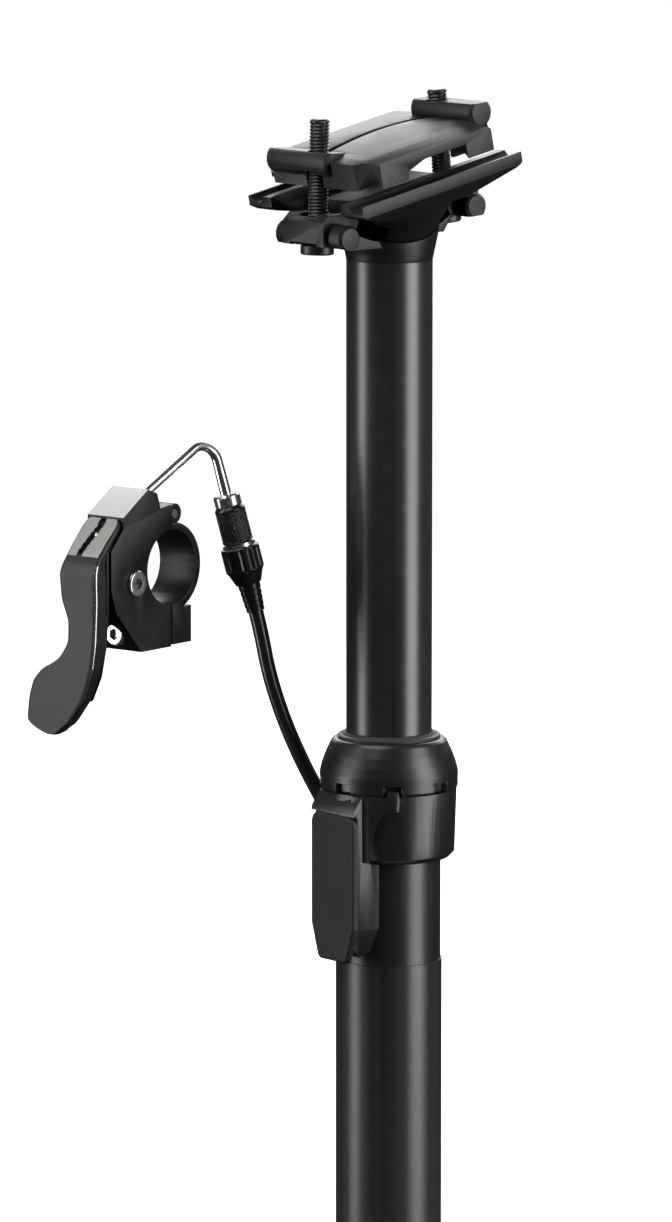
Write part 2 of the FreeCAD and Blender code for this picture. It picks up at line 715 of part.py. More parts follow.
def make_cradle():
    """The lower cradle, drawn about the clamp centre with its rails level."""
    top = -size.cradle_top_drop.value
    half_length = size.cradle_half_length.value
    half_width = size.cradle_half_width.value
    flange_inner = size.washer_half_length.value + 0.8
    relief = SEAT_RADIUS - RELIEF_DROP
    seat_half = SEAT_RADIUS * math.sin(math.radians(SEAT_HALF_ANGLE))
    sections = [(27.0, half_width, top - 1.5), (21.6, 21.5, top - 8), (16.0, 15.5, top - 14),
                (11.5, 11.0, top - 20.5)]
    bowl = Part.makeLoft([oval(0, a, b, z) for a, b, z in sections], True)
    bowl = bowl.common(cross_bar(SEAT_RADIUS, 40, Vector(0, 0, 0)))
    ends = slab(seat_half, 45, -flange_inner, flange_inner, top - 30, top + 1)
    ends = ends.fuse(slab(-45, -seat_half, -flange_inner, flange_inner, top - 30, top + 1))
    bowl = bowl.cut(ends.cut(cross_bar(relief, 40, Vector(0, 0, 0))))
    bowl = bowl.cut(slab(16, 45, -flange_inner, flange_inner, top - 30, top + 1))
    bowl = bowl.cut(slab(-45, -16, -flange_inner, flange_inner, top - 30, top + 1))

    side = [(half_length, 0), (half_length, -3), (half_length - 2, -4.5), (14, -9)]
    outline = [(x, top + z) for x, z in side] + [(-x, top + z) for x, z in reversed(side)]
    flange = prism([Vector(x, flange_inner, z) for x, z in outline],
                   Y_AXIS * (half_width - flange_inner))
    section = prism([Vector(-45, y, top + z) for y, z in (
        (0, 1), (half_width, 1), (half_width, -3.6), (17, -12), (0, -12))], Vector(90, 0, 0))
    cradle = bowl.fuse(mirrored_pair(flange.common(section)))
    cradle = cradle.cut(slab(-16, 16, -flange_inner, flange_inner, top - 4, top + 5))
    groove = Part.makeCylinder(RAIL_ROOM, 90, Vector(-45, size.rail_offset.value,
                                                     -size.rail_drop.value), X_AXIS)
    cradle = cradle.cut(mirrored_pair(groove))
    node("lower_cradle", plain("lower_cradle", cradle), CLAMP_FRAME)


def make_rail_plates():
    """The two upper plates, crowned both ways, with a rail groove and seats for the barrel nuts."""
    top = -size.plate_top_drop.value
    half_length = size.plate_half_length.value
    inner, outer = size.plate_inner.value, size.plate_outer.value
    plate = slab(-half_length, half_length, inner, outer, -14, top)
    plate = plate.common(cross_bar(134, 40, Vector(0, 0, top - 134)))
    plate = plate.common(Part.makeCylinder(88, 90, Vector(-45, inner, top - 88), X_AXIS))
    groove_at = Vector(-45, size.rail_offset.value, -size.rail_drop.value)
    plate = plate.cut(Part.makeCylinder(RAIL_ROOM, 90, groove_at, X_AXIS))
    plate = plate.cut(slab(-11.5, 11.5, 15, 40, -20, -9.6))
    plate = plate.cut(slab(-18.5, 18.5, -1, 17.5, -20, -9.0))
    slot = size.bolt_slot.value
    plate = plate.cut(slab(-45, -19.5, -1, slot, -20, 5)).cut(slab(19, 45, -1, slot, -20, 5))
    for end in (-1, 1):
        nose = prism([Vector(end * (half_length + 1), 17, -20), Vector(end * (half_length + 1), 27, -20),
                      Vector(end * (half_length - 5.5), 27, -20)], Z_AXIS * 30)
        plate = plate.cut(nose)
    twin = plate.mirror(Vector(0, 0, 0), Y_AXIS)
    to_clamp = CLAMP_FRAME.inverse()
    room = size.nut_radius.value + size.running_gap.value
    short_end = size.nut_short_end.value + 0.3
    seats = [Part.makeCylinder(room, 60, to_clamp.multVec(nut) - side * short_end, side)
             for nut, side in ((FRONT_NUT, Y_AXIS), (REAR_NUT, -Y_AXIS))]
    node("right_rail_plate", plain("right_rail_plate", plate.cut(seats)), CLAMP_FRAME)
    node("left_rail_plate", plain("left_rail_plate", twin.cut(seats)), CLAMP_FRAME)


def barrel(radius, low_end, high_end, flat_side, hole_radius):
    """A cross barrel with chamfered ends, one milled flat and a hole for the bolt."""
    bar = Part.makeCylinder(radius, low_end + high_end, Vector(0, -low_end, 0), Y_AXIS)
    rims = [edge for edge in bar.Edges if edge.Closed]
    bar = bar.makeChamfer(0.8, rims)
    flat = slab(-10, 10, -30, 30, radius * 0.68, 10)
    if flat_side < 0:
        flat = slab(-10, 10, -30, 30, -10, -radius * 0.68)
    hole = Part.makeCylinder(hole_radius, 20, Vector(0, 0, -10))
    return bar.cut(flat).cut(hole)


def make_bolts():
    """Each bolt with the barrel washer under its ear and the barrel nut over the plates."""
    shank = size.bolt_radius.value
    seat = size.washer_radius.value * 0.68
    short_end, long_end = size.nut_short_end.value, size.nut_long_end.value
    for name, frame, nut, ends in (("front", FRONT_BOLT, FRONT_NUT, (short_end, long_end)),
                                   ("rear", REAR_BOLT, REAR_NUT, (long_end, short_end))):
        bolt = Part.makeCylinder(shank, size.bolt_length.value + seat, Vector(0, 0, -seat))
        tip = [edge for edge in bolt.Edges if edge.Closed and edge.CenterOfMass.z > seat]
        bolt = bolt.makeChamfer(0.5, tip)
        head = Part.makeCylinder(4.9, 2.7, Vector(0, 0, -seat - 2.7))
        bolt = bolt.fuse(head)
        node(f"{name}_clamp_bolt", plain(f"{name}_clamp_bolt", bolt), frame)
        washer_half = size.washer_half_length.value
        washer = barrel(size.washer_radius.value, washer_half, washer_half, -1, shank)
        node(f"{name}_barrel_washer", plain(f"{name}_barrel_washer", washer), frame)
        nut_body = barrel(size.nut_radius.value, *ends, 1, shank + 0.45)
        node(f"{name}_barrel_nut", plain(f"{name}_barrel_nut", nut_body),
             Placement(nut, frame.Rotation))


# ---------------------------------------------------------------- handlebar lever

LEVER_FRAME = Placement(Vector(size.lever_x.value, size.lever_y.value, size.lever_height.value),
                        Rotation(Z_AXIS, size.lever_turn.value))
SPLIT_GAP = 0.3
KNUCKLE_X = 1.5
KNUCKLE_Z = size.bar_radius + size.strap_wall + 2.5
KNUCKLE_HALF = 2.5
BOSS_DROP = 23.5
SCREW_SEAT_X = -15.5
ADJUSTER_START = Vector(-30.26, 38.46, 320.0)
ADJUSTER_AXIS = Vector(0.187, -0.157, -0.970).normalize()
ADJUSTER_FRAME = Placement(ADJUSTER_START, Rotation(Z_AXIS, ADJUSTER_AXIS))
NOODLE_CORNER = ADJUSTER_START - ADJUSTER_AXIS * 20
NOODLE_SEAT = Vector(-12, 0, 17.9)
NOODLE_OUT = (LEVER_FRAME.inverse().multVec(NOODLE_CORNER) - NOODLE_SEAT).normalize()
NIPPLE_X = -24.6
NIPPLE_Z = 11.4


def lever_place(x, y, z, turn=UPRIGHT):
    """A place given in the lever's own frame."""
    spot = Vector(*(Length.of(value).value for value in (x, y, z)))
    return LEVER_FRAME.multiply(Placement(spot, turn))


def make_bracket():
    """The fixed half of the clamp with its two cheeks and the cable block."""
    half = size.clamp_half_width
    outline = [(-22, 17), (-10.7, 24.2), (-6.5, 22.6), (-5, 18), (-SPLIT_GAP, 18.6),
               (-SPLIT_GAP, -BOSS_DROP), (-14, -BOSS_DROP), (-25.5, -10.5), (-27.6, -4),
               (-27.6, 7.6), (-22, 13.6)]
    block = milled("bracket_block", "XZ_Plane", outline, half)
    knuckle = cross_cylinder(size.hinge_knuckle_radius, half, KNUCKLE_X, KNUCKLE_Z)
    bore = cross_cylinder(size.bar_radius, half + 1)
    slot = box((-40, -size.cheek_inner, -9.5), (-9.8, size.cheek_inner, 13.6))
    pivot = cross_cylinder(size.pivot_bolt_radius, half + 1, size.lever_pivot_x,
                           size.lever_pivot_z)
    screw = cylinder(size.clamp_screw_radius, 30, -29, 0, -size.clamp_screw_drop, ALONG_X)
    screw_seat = cylinder(3.6, 20, SCREW_SEAT_X - 20, 0, -size.clamp_screw_drop, ALONG_X)
    gap = box((-3.2, -KNUCKLE_HALF, size.bar_radius + 1.3), (6, KNUCKLE_HALF, KNUCKLE_Z + 4))
    pin = cross_cylinder(size.hinge_pin_radius, half + 1, KNUCKLE_X, KNUCKLE_Z)
    noodle_hole = aimed_cylinder(size.noodle_radius, 14, NOODLE_SEAT, NOODLE_OUT)
    wire_hole = aimed_cylinder(1.0, 14, NOODLE_SEAT - NOODLE_OUT * 13, NOODLE_OUT)
    tools = [bore, slot, pivot, screw, screw_seat, gap, pin, noodle_hole, wire_hole]
    node("lever_bracket", cut("lever_bracket", fuse("bracket_blank", [block, knuckle]), tools),
         LEVER_FRAME)


def make_strap():
    """The hinged half of the handlebar clamp, its hinge pin and its screw."""
    half = size.clamp_half_width
    outer = size.bar_radius + size.strap_wall
    hoop = cross_cylinder(outer, half)
    lug = box((SPLIT_GAP, -half, -BOSS_DROP + 0.5), (9, half, -size.bar_radius - 1))
    knuckle = cross_cylinder(size.hinge_knuckle_radius, KNUCKLE_HALF - 0.1, KNUCKLE_X, KNUCKLE_Z)
    neck = box((SPLIT_GAP, -KNUCKLE_HALF + 0.1, size.bar_radius + 0.5),
               (KNUCKLE_X + 2.6, KNUCKLE_HALF - 0.1, KNUCKLE_Z))
    blank = fuse("strap_blank", [hoop, lug, knuckle, neck])
    bore = cross_cylinder(size.bar_radius, half + 1)
    far_half = box((-40, -half - 1, -40), (SPLIT_GAP, half + 1, outer))
    pin_hole = cross_cylinder(size.hinge_pin_radius, half + 1, KNUCKLE_X, KNUCKLE_Z)
    screw_hole = cylinder(size.clamp_screw_radius, 20, -1, 0, -size.clamp_screw_drop, ALONG_X)
    side_room = [cylinder(size.hinge_knuckle_radius + 0.15, half + 1, KNUCKLE_X, start, KNUCKLE_Z,
                          ALONG_Y) for start in (KNUCKLE_HALF, -half - 1 - KNUCKLE_HALF)]
    node("clamp_strap", cut("clamp_strap", blank, [bore, far_half, pin_hole, screw_hole] + side_room),
         LEVER_FRAME)
    pin_frame = lever_place(KNUCKLE_X, -half, KNUCKLE_Z, ALONG_Y)
    node("strap_hinge_pin", turned("strap_hinge_pin", [
        (0, 0), (size.hinge_pin_radius, 0), (size.hinge_pin_radius, half * 2), (0, half * 2)]),
        pin_frame)


def make_lever_fasteners():
    half = size.clamp_half_width
    head = half * 2 + 1
    pivot_frame = lever_place(size.lever_pivot_x, half, size.lever_pivot_z, Rotation(X_AXIS, 90))
    node("lever_pivot_bolt", turned("lever_pivot_bolt", [
        (0, 0), (size.pivot_bolt_radius, 0), (size.pivot_bolt_radius, half * 2),
        (4.0, half * 2), (4.0, head - 0.3), (3.7, head), (1.6, head), (1.6, half * 2 - 0.8),
        (0, half * 2 - 0.8)]), pivot_frame)
    screw_frame = lever_place(SCREW_SEAT_X - 3, 0, -size.clamp_screw_drop, ALONG_X)
    node("clamp_screw", turned("clamp_screw", [
        (0, 1.4), (1.7, 1.4), (1.7, 0), (3.2, 0), (3.5, 0.4), (3.5, 3),
        (size.clamp_screw_radius, 3), (size.clamp_screw_radius, 27), (0, 27)]), screw_frame)


def lever_outline(points, start, thickness):
    """A plate of the thumb lever, drawn across the handlebar and extruded along its depth."""
    return prism([Vector(start, -across, up) for across, up in points], Vector(thickness, 0, 0))


def make_lever():
    """The thumb lever: a folded upper band, a tongue on the pivot and the arm with its paddle."""
    face = size.arm_face_x.value
    back = face + size.arm_thickness.value
    band_half = 6.7
    band = prism([Vector(x, -band_half, z) for x, z in (
        (-22.6, 16.6), (-31.6, 7.6), (face, 2.5), (face, -11), (back, -11), (back, 8.2),
        (-22.4, 14.4))], Y_AXIS * (2 * band_half))
    tongue_half = size.cheek_inner.value - 0.4
    tongue = prism([Vector(x, -tongue_half, z) for x, z in (
        (back - 0.1, 8), (-22.8, 13.4), (-12.4, 3), (-11.9, -5.5), (-13, -7), (-20, -7),
        (back - 0.1, -4))], Y_AXIS * (2 * tongue_half))
    arm = lever_outline([
        (-6.6, 6.3), (-7.6, 1.2), (-6.8, -6.5), (-4.1, -12.8), (-4.4, -19.2), (-8, -24.3),
        (-15.2, -27.8), (-18, -31.3), (-20.4, -42.8), (-19.5, -45), (-8, -47.3), (1.5, -36),
        (4.4, -29), (6, -19), (6.6, -6.5), (6.2, 6.3)], face, back - face)
    depth = prism([Vector(x, -30, z) for x, z in (
        (face, 2.5), (-31.6, 7.6), (back, 7.6), (back, -20), (back - 1.5, -48), (face, -48))],
        Y_AXIS * 60)
    lever = band.fuse([tongue, arm.common(depth)])
    pivot = Vector(size.lever_pivot_x.value, 0, size.lever_pivot_z.value)
    bore = size.pivot_bolt_radius.value + size.running_gap.value
    lever = lever.cut(cross_bar(bore, 10, pivot))
    lever = lever.cut(cross_bar(1.5, tongue_half, Vector(NIPPLE_X, 0, NIPPLE_Z)))
    lever = lever.cut(slab(-29, -20, -0.9, 0.9, NIPPLE_Z - 1, 18))
    node("remote_lever", plain("remote_lever", lever.removeSplitter()), LEVER_FRAME)
    nipple_frame = lever_place(NIPPLE_X, -tongue_half, NIPPLE_Z, ALONG_Y)
    node("cable_nipple", turned("cable_nipple", [
        (0, 0), (1.5, 0), (1.5, 2 * tongue_half), (0, 2 * tongue_half)]), nipple_frame)


# ---------------------------------------------------------------- cable run

def make_noodle():
    """The bent metal tube from the lever's cable block to the adjuster."""
    start = LEVER_FRAME.multVec(NOODLE_SEAT)
    points = [start, NOODLE_CORNER, ADJUSTER_START + ADJUSTER_AXIS * 3]
    tube = tube_along(round_wire(points, [size.noodle_bend.value]), size.noodle_radius.value,
                      start, NOODLE_CORNER - start)
    node("noodle", plain("noodle", tube))


def make_adjuster():
    """The barrel adjuster chain, drawn down its own axis."""
    core = 2.6
    wire_bore = size.noodle_radius
    sleeve = turned("sleeve_turning", [
        (wire_bore, -1.5), (3.5, -1.5), (4.0, -0.9), (4.0, 1.8), (core, 1.8), (core, 24),
        (wire_bore, 24)])
    slots = [box((wire_bore + 0.4, -0.4, -2), (5, 0.4, 0.9), around=angle)
             for angle in (45, 135, 225, 315)]
    node("adjuster_sleeve", cut("adjuster_sleeve", sleeve, slots), ADJUSTER_FRAME)
    bore = core + size.running_gap
    outer = size.adjuster_radius
    node("barrel_adjuster", turned("barrel_adjuster", [
        (bore, 2), (outer - 0.8, 2), (outer, 3.2), (outer, 12.8), (outer - 0.4, 13.4),
        (bore, 13.4)]), ADJUSTER_FRAME)
    node("adjuster_ring", ring("adjuster_ring", core, outer + 0.3, 13.5, 14.5), ADJUSTER_FRAME)
    node("lock_nut", turned("lock_nut", [
        (core, 14.5), (size.lock_nut_radius - 0.4, 14.5), (size.lock_nut_radius, 15),
        (size.lock_nut_radius, 21.6), (size.lock_nut_radius - 0.6, 22.4), (3.8, 26),
        (wire_bore, 26), (wire_bore, 24), (core, 24)]), ADJUSTER_FRAME)
    node("cable_ferrule", turned("cable_ferrule", [
        (wire_bore, 26), (size.ferrule_radius, 26), (size.ferrule_radius, 28), (2.75, 34.5),
        (size.cable_radius, 34.5), (size.cable_radius, 31), (wire_bore, 31)]), ADJUSTER_FRAME)


def make_cable_housing():
    radii = bend_radii(CABLE_ROUTE)
    wire = round_wire(CABLE_ROUTE, radii)
    radius = size.cable_radius.value
    cable = tube_along(wire, radius, CABLE_ROUTE[0], CABLE_ROUTE[1] - CABLE_ROUTE[0])
    node("cable_housing", plain("cable_housing", cable))
    rounded = [round(value, 1) for value in radii]
    print("cable bends", rounded, "length", round(wire.Length, 2))
    print("cable volume", round(cable.Volume, 1),
          "expected", round(wire.Length * math.pi * radius ** 2, 1))


# ---------------------------------------------------------------- build and export

def main():
    for make in (make_mast, make_stanchion, make_cartridge, make_shaft_nut, make_end_plug,
                 make_release_lever, make_transfer_cable, make_collar, make_cap_and_seals,
                 make_actuator, make_post_head, make_cradle, make_rail_plates, make_bolts,
                 make_bracket, make_strap, make_lever_fasteners, make_lever, make_noodle,
                 make_adjuster, make_cable_housing):
        make()
    doc.recompute()
    for item in doc.Objects:
        if "Invalid" in item.State or "Error" in item.State:
            raise RuntimeError(f"{item.Label} did not build: {item.State}")
    os.makedirs("parts", exist_ok=True)
    for item in nodes:
        shape = item.Shape
        if shape.isNull() or not shape.isValid():
            raise RuntimeError(f"{item.Label} has no valid shape")
        print(f"{item.Label:22s} solids {len(shape.Solids)} volume {shape.Volume:10.1f}")
        shape.exportStep(f"parts/{item.Label}.step")


main()
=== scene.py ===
"""Dropper seatpost with its handlebar lever: studio, cable, finishes and detailed pieces."""

import logging
import math
from collections.abc import Callable, Sequence
from dataclasses import dataclass
from enum import Enum

import bmesh
import bpy
import numpy as np
from mathutils import Matrix, Vector

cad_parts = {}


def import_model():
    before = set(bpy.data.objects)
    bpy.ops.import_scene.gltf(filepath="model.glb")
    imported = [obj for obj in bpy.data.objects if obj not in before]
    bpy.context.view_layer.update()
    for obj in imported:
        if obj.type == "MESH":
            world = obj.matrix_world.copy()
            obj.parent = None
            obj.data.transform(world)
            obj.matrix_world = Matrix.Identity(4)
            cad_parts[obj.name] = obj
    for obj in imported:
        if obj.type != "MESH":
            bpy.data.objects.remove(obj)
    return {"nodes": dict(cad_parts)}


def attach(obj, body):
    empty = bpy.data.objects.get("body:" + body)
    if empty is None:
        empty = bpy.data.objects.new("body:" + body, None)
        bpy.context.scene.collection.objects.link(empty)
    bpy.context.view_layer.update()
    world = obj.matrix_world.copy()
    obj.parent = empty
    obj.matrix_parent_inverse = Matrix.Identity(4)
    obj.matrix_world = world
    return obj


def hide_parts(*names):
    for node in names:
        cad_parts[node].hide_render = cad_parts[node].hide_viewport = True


LOG = logging.getLogger("seatpost")
MM = 0.001
TURN = 2 * math.pi


# ---------------------------------------------------------------- surfaces

def rounded_loop(corners: np.ndarray, radius: float, steps: int = 4) -> np.ndarray:
    """Round the corners of a closed outline with quadratic curves.

    Each corner c between neighbours a and b becomes (1-t)^2 p + 2t(1-t) c + t^2 q, where p and q
    lie on the two edges, at most 0.42 of each edge away from the corner.

    Args:
        corners: An (n, 2) array of outline corners.
        radius: How far along each edge the rounding starts.
        steps: Points per rounded corner, less one.

    Returns:
        An (m, 2) array of points round the closed outline.
    """
    before = np.roll(corners, 1, axis=0) - corners
    after = np.roll(corners, -1, axis=0) - corners
    size_before = np.linalg.norm(before, axis=1, keepdims=True)
    size_after = np.linalg.norm(after, axis=1, keepdims=True)
    start = corners + before / size_before * np.minimum(radius, 0.42 * size_before)
    end = corners + after / size_after * np.minimum(radius, 0.42 * size_after)
    t = np.linspace(0.0, 1.0, steps + 1)[None, :, None]
    curve = ((1 - t) ** 2 * start[:, None] + 2 * t * (1 - t) * corners[:, None]
             + t ** 2 * end[:, None])
    return curve.reshape(-1, 2)


def rounded_line(corners: Sequence[tuple[float, float]], radius: float, steps: int = 4
                 ) -> np.ndarray:
    """An open outline with its inner corners rounded as in rounded_loop and its ends kept."""
    points = np.array(corners, dtype=float)
    inner = rounded_loop(points, radius, steps).reshape(len(points), steps + 1, 2)[1:-1]
    return np.concatenate([points[:1], inner.reshape(-1, 2), points[-1:]])


def loop(corners: Sequence[tuple[float, float]], radius: float, steps: int = 4) -> np.ndarray:
    """A closed outline with rounded corners, from a plain list of corners."""
    return rounded_loop(np.array(corners, dtype=float), radius, steps)


def filled(profile: np.ndarray, step: float) -> np.ndarray:
    """The same outline with extra points on its long runs, none further apart than step."""
    gaps = np.linalg.norm(np.diff(profile, axis=0), axis=1)
    place = np.concatenate([[0.0], np.cumsum(gaps)])
    extra = np.concatenate([np.arange(place[i], place[i + 1], step) for i in range(len(gaps))])
    wanted = np.unique(np.round(np.concatenate([place, extra]), 6))
    return np.stack([np.interp(wanted, place, profile[:, k]) for k in (0, 1)], axis=1)


def surface(name: str, points: np.ndarray, loop_rows: bool, sharp: float = 40.0
            ) -> bpy.types.Object:
    """Make a mesh from a grid of points that closes on itself along its columns.

    Args:
        name: The new object's name.
        points: A (rows, columns, 3) array in metres.
        loop_rows: Whether the last row joins the first.
        sharp: The angle in degrees past which an edge is shaded sharp.

    Returns:
        The new object, with its doubles merged and its faces turned outwards.
    """
    rows, columns = points.shape[:2]
    count = np.arange(rows * columns).reshape(rows, columns)
    lower = count if loop_rows else count[:-1]
    upper = np.roll(count, -1, axis=0) if loop_rows else count[1:]
    faces = np.stack([lower, np.roll(lower, -1, axis=1), np.roll(upper, -1, axis=1), upper], -1)
    mesh = bpy.data.meshes.new(name)
    mesh.from_pydata(points.reshape(-1, 3), [], faces.reshape(-1, 4))
    return finished_mesh(name, mesh, sharp)


def finished_mesh(name: str, mesh: bpy.types.Mesh, sharp: float) -> bpy.types.Object:
    """Merge doubles, turn the faces outwards, smooth the shading and link the object."""
    work = bmesh.new()
    work.from_mesh(mesh)
    bmesh.ops.remove_doubles(work, verts=work.verts, dist=1e-7)
    bmesh.ops.recalc_face_normals(work, faces=work.faces)
    work.to_mesh(mesh)
    work.free()
    mesh.shade_smooth()
    mesh.set_sharp_from_angle(angle=math.radians(sharp))
    item = bpy.data.objects.new(name, mesh)
    bpy.context.scene.collection.objects.link(item)
    return item


def lathe(name: str, profile: np.ndarray, frame: Matrix, segments: int = 96,
          change: Callable[[np.ndarray, np.ndarray, np.ndarray], np.ndarray] | None = None,
          solid: bool = False) -> bpy.types.Object:
    """Turn a closed (radius, height) outline about the frame's Z axis.

    The point at outline index i and angle a is ((r_i + d) cos a, (r_i + d) sin a, z_i), where d
    is the change in radius at that place.

    Args:
        name: The new object's name.
        profile: An (n, 2) array of radius and height in millimetres.
        frame: The placement of the lathe axis, in metres.
        segments: Points round the axis.
        change: Gives d in millimetres from arrays of angle, height and radius.
        solid: Whether the outline is open and starts and ends on the axis.

    Returns:
        The new object.
    """
    angle = np.linspace(0, TURN, segments, endpoint=False)[None, :]
    radius, height = profile[:, :1], profile[:, 1:]
    grow = change(angle, height, radius) if change else 0.0
    across = np.broadcast_to(radius + grow, (len(profile), segments))
    points = np.stack([across * np.cos(angle), across * np.sin(angle),
                       np.broadcast_to(height, across.shape)], -1) * MM
    return surface(name, carried(points, frame), loop_rows=not solid)


def carried(points: np.ndarray, frame: Matrix) -> np.ndarray:
    """Points moved by a frame: R p + o for every point p."""
    turn = np.array(frame.to_3x3())
    return points @ turn.T + np.array(frame.translation)


def sweep(name: str, path: np.ndarray, radii: np.ndarray, segments: int = 32
          ) -> bpy.types.Object:
    """Carry a circle along a path: p_i + r_i (cos a u_i + sin a v_i), closed at both ends.

    Args:
        name: The new object's name.
        path: An (n, 3) array of points in metres.
        radii: The (n,) radius at each point, in metres.
        segments: Points round the circle.

    Returns:
        The new object.
    """
    along = np.gradient(path, axis=0)
    along /= np.linalg.norm(along, axis=1, keepdims=True)
    side = np.cross(along, np.array([0.31, 0.9, 0.3]))
    side /= np.linalg.norm(side, axis=1, keepdims=True)
    other = np.cross(along, side)
    angle = np.linspace(0, TURN, segments, endpoint=False)[None, :, None]
    ring = np.cos(angle) * side[:, None] + np.sin(angle) * other[:, None]
    wall = path[:, None] + radii[:, None, None] * ring
    ends = [np.repeat(path[index][None, None], segments, axis=1) for index in (0, -1)]
    return surface(name, np.concatenate([ends[0], wall, ends[1]]), loop_rows=False)


def axis_frame(origin: Sequence[float], axis: Sequence[float]) -> Matrix:
    """A frame at a point in millimetres, with its Z along an axis."""
    turn = Vector(axis).to_track_quat("Z", "Y").to_matrix().to_4x4()
    return Matrix.Translation(Vector(origin) * MM) @ turn


def softened(node: str, width: float, segments: int = 3, edge_slot: bool = False,
             angle: float = 28.0, trims: Sequence[tuple[Vector, Vector]] = ()
             ) -> bpy.types.Object:
    """A copy of a CAD node with its sharp edges broken, standing in for the node.

    Args:
        node: The CAD node's name.
        width: The width of the broken edge in millimetres.
        segments: Faces across each broken edge.
        edge_slot: Whether the broken edges take the second material.
        angle: The angle in degrees past which an edge is broken.
        trims: Planes as (point, normal); what lies beyond one along its normal is cut away.

    Returns:
        The new object.
    """
    source = FRAME["nodes"][node]
    mesh = source.data.copy()
    work = bmesh.new()
    work.from_mesh(mesh)
    bmesh.ops.remove_doubles(work, verts=work.verts, dist=2e-6)
    bmesh.ops.dissolve_degenerate(work, edges=work.edges, dist=5e-6)
    bmesh.ops.dissolve_limit(work, angle_limit=math.radians(0.6), verts=work.verts,
                             edges=work.edges)
    for point, normal in trims:
        bmesh.ops.bisect_plane(work, geom=work.verts[:] + work.edges[:] + work.faces[:],
                               plane_co=point, plane_no=normal, clear_outer=True)
        rim = [edge for edge in work.edges if edge.is_boundary]
        bmesh.ops.holes_fill(work, edges=rim, sides=0)
    work.to_mesh(mesh)
    work.free()
    mesh.materials.clear()
    mesh.shade_smooth()
    item = bpy.data.objects.new(f"{node}_piece", mesh)
    bpy.context.scene.collection.objects.link(item)
    bevel = item.modifiers.new("broken_edges", "BEVEL")
    bevel.width = width * MM
    bevel.segments = segments
    bevel.limit_method = "ANGLE"
    bevel.angle_limit = math.radians(angle)
    bevel.miter_outer = "MITER_ARC"
    bevel.harden_normals = True
    if edge_slot:
        bevel.material = 1
    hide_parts(node)
    return item


# ---------------------------------------------------------------- finishes

class Effect(Enum):
    """The shared surface effects, each one a shader node group."""

    GRAIN = "surface_grain"
    WEAR = "edge_wear"
    DUST = "settled_dust"


def new_group(name: str, inputs: dict[str, object], outputs: dict[str, str]
              ) -> bpy.types.ShaderNodeTree:
    """An empty shader group with named inputs and outputs."""
    group = bpy.data.node_groups.new(name, "ShaderNodeTree")
    for label, value in inputs.items():
        kind = "NodeSocketColor" if isinstance(value, tuple) else "NodeSocketFloat"
        socket = group.interface.new_socket(name=label, in_out="INPUT", socket_type=kind)
        socket.default_value = value
    for label, kind in outputs.items():
        group.interface.new_socket(name=label, in_out="OUTPUT", socket_type=kind)
    return group


class Wiring:
    """A short hand for adding and joining the nodes of one tree."""

    def __init__(self, tree: bpy.types.ShaderNodeTree) -> None:
        """Keep the tree."""
        self.tree = tree

    def add(self, kind: str, **values: object) -> bpy.types.ShaderNode:
        """Add a node and set its properties."""
        node = self.tree.nodes.new(kind)
        for name, value in values.items():
            setattr(node, name, value)
        return node

    def join(self, start: bpy.types.NodeSocket, end: bpy.types.NodeSocket) -> None:
        """Link one socket to another."""
        self.tree.links.new(start, end)

    def math(self, kind: str, first: object, second: object, clamp: bool = False
             ) -> bpy.types.NodeSocket:
        """A maths node on two values or sockets, and its result."""
        node = self.add("ShaderNodeMath", operation=kind, use_clamp=clamp)
        for socket, value in zip(node.inputs, (first, second)):
            if isinstance(value, bpy.types.NodeSocket):
                self.join(value, socket)
            else:
                socket.default_value = value
        return node.outputs[0]


def make_grain() -> bpy.types.ShaderNodeTree:
    """Fine blasted grain, with a slow change in roughness across it."""
    group = new_group(Effect.GRAIN.value, {"Scale": 900.0, "Stretch": 1.0, "Roughness": 0.4,
                                           "Spread": 0.05},
                      {"Roughness": "NodeSocketFloat", "Height": "NodeSocketFloat"})
    wire = Wiring(group)
    source, out = wire.add("NodeGroupInput"), wire.add("NodeGroupOutput")
    place = wire.add("ShaderNodeTexCoord")
    squeeze = wire.add("ShaderNodeCombineXYZ")
    squeeze.inputs[0].default_value = squeeze.inputs[1].default_value = 1.0
    wire.join(source.outputs["Stretch"], squeeze.inputs[2])
    scaled = wire.add("ShaderNodeVectorMath", operation="MULTIPLY")
    wire.join(place.outputs["Object"], scaled.inputs[0])
    wire.join(squeeze.outputs[0], scaled.inputs[1])
    fine = wire.add("ShaderNodeTexNoise")
    fine.inputs["Detail"].default_value = 3.0
    wire.join(scaled.outputs[0], fine.inputs["Vector"])
    wire.join(source.outputs["Scale"], fine.inputs["Scale"])
    slow = wire.add("ShaderNodeTexNoise")
    slow.inputs["Scale"].default_value = 45.0
    wire.join(place.outputs["Object"], slow.inputs["Vector"])
    both = wire.math("ADD", fine.outputs[0], slow.outputs[0])
    swing = wire.math("MULTIPLY", wire.math("SUBTRACT", both, 1.0), source.outputs["Spread"])
    wire.join(wire.math("ADD", source.outputs["Roughness"], swing, True), out.inputs["Roughness"])
    wire.join(fine.outputs[0], out.inputs["Height"])
    return group


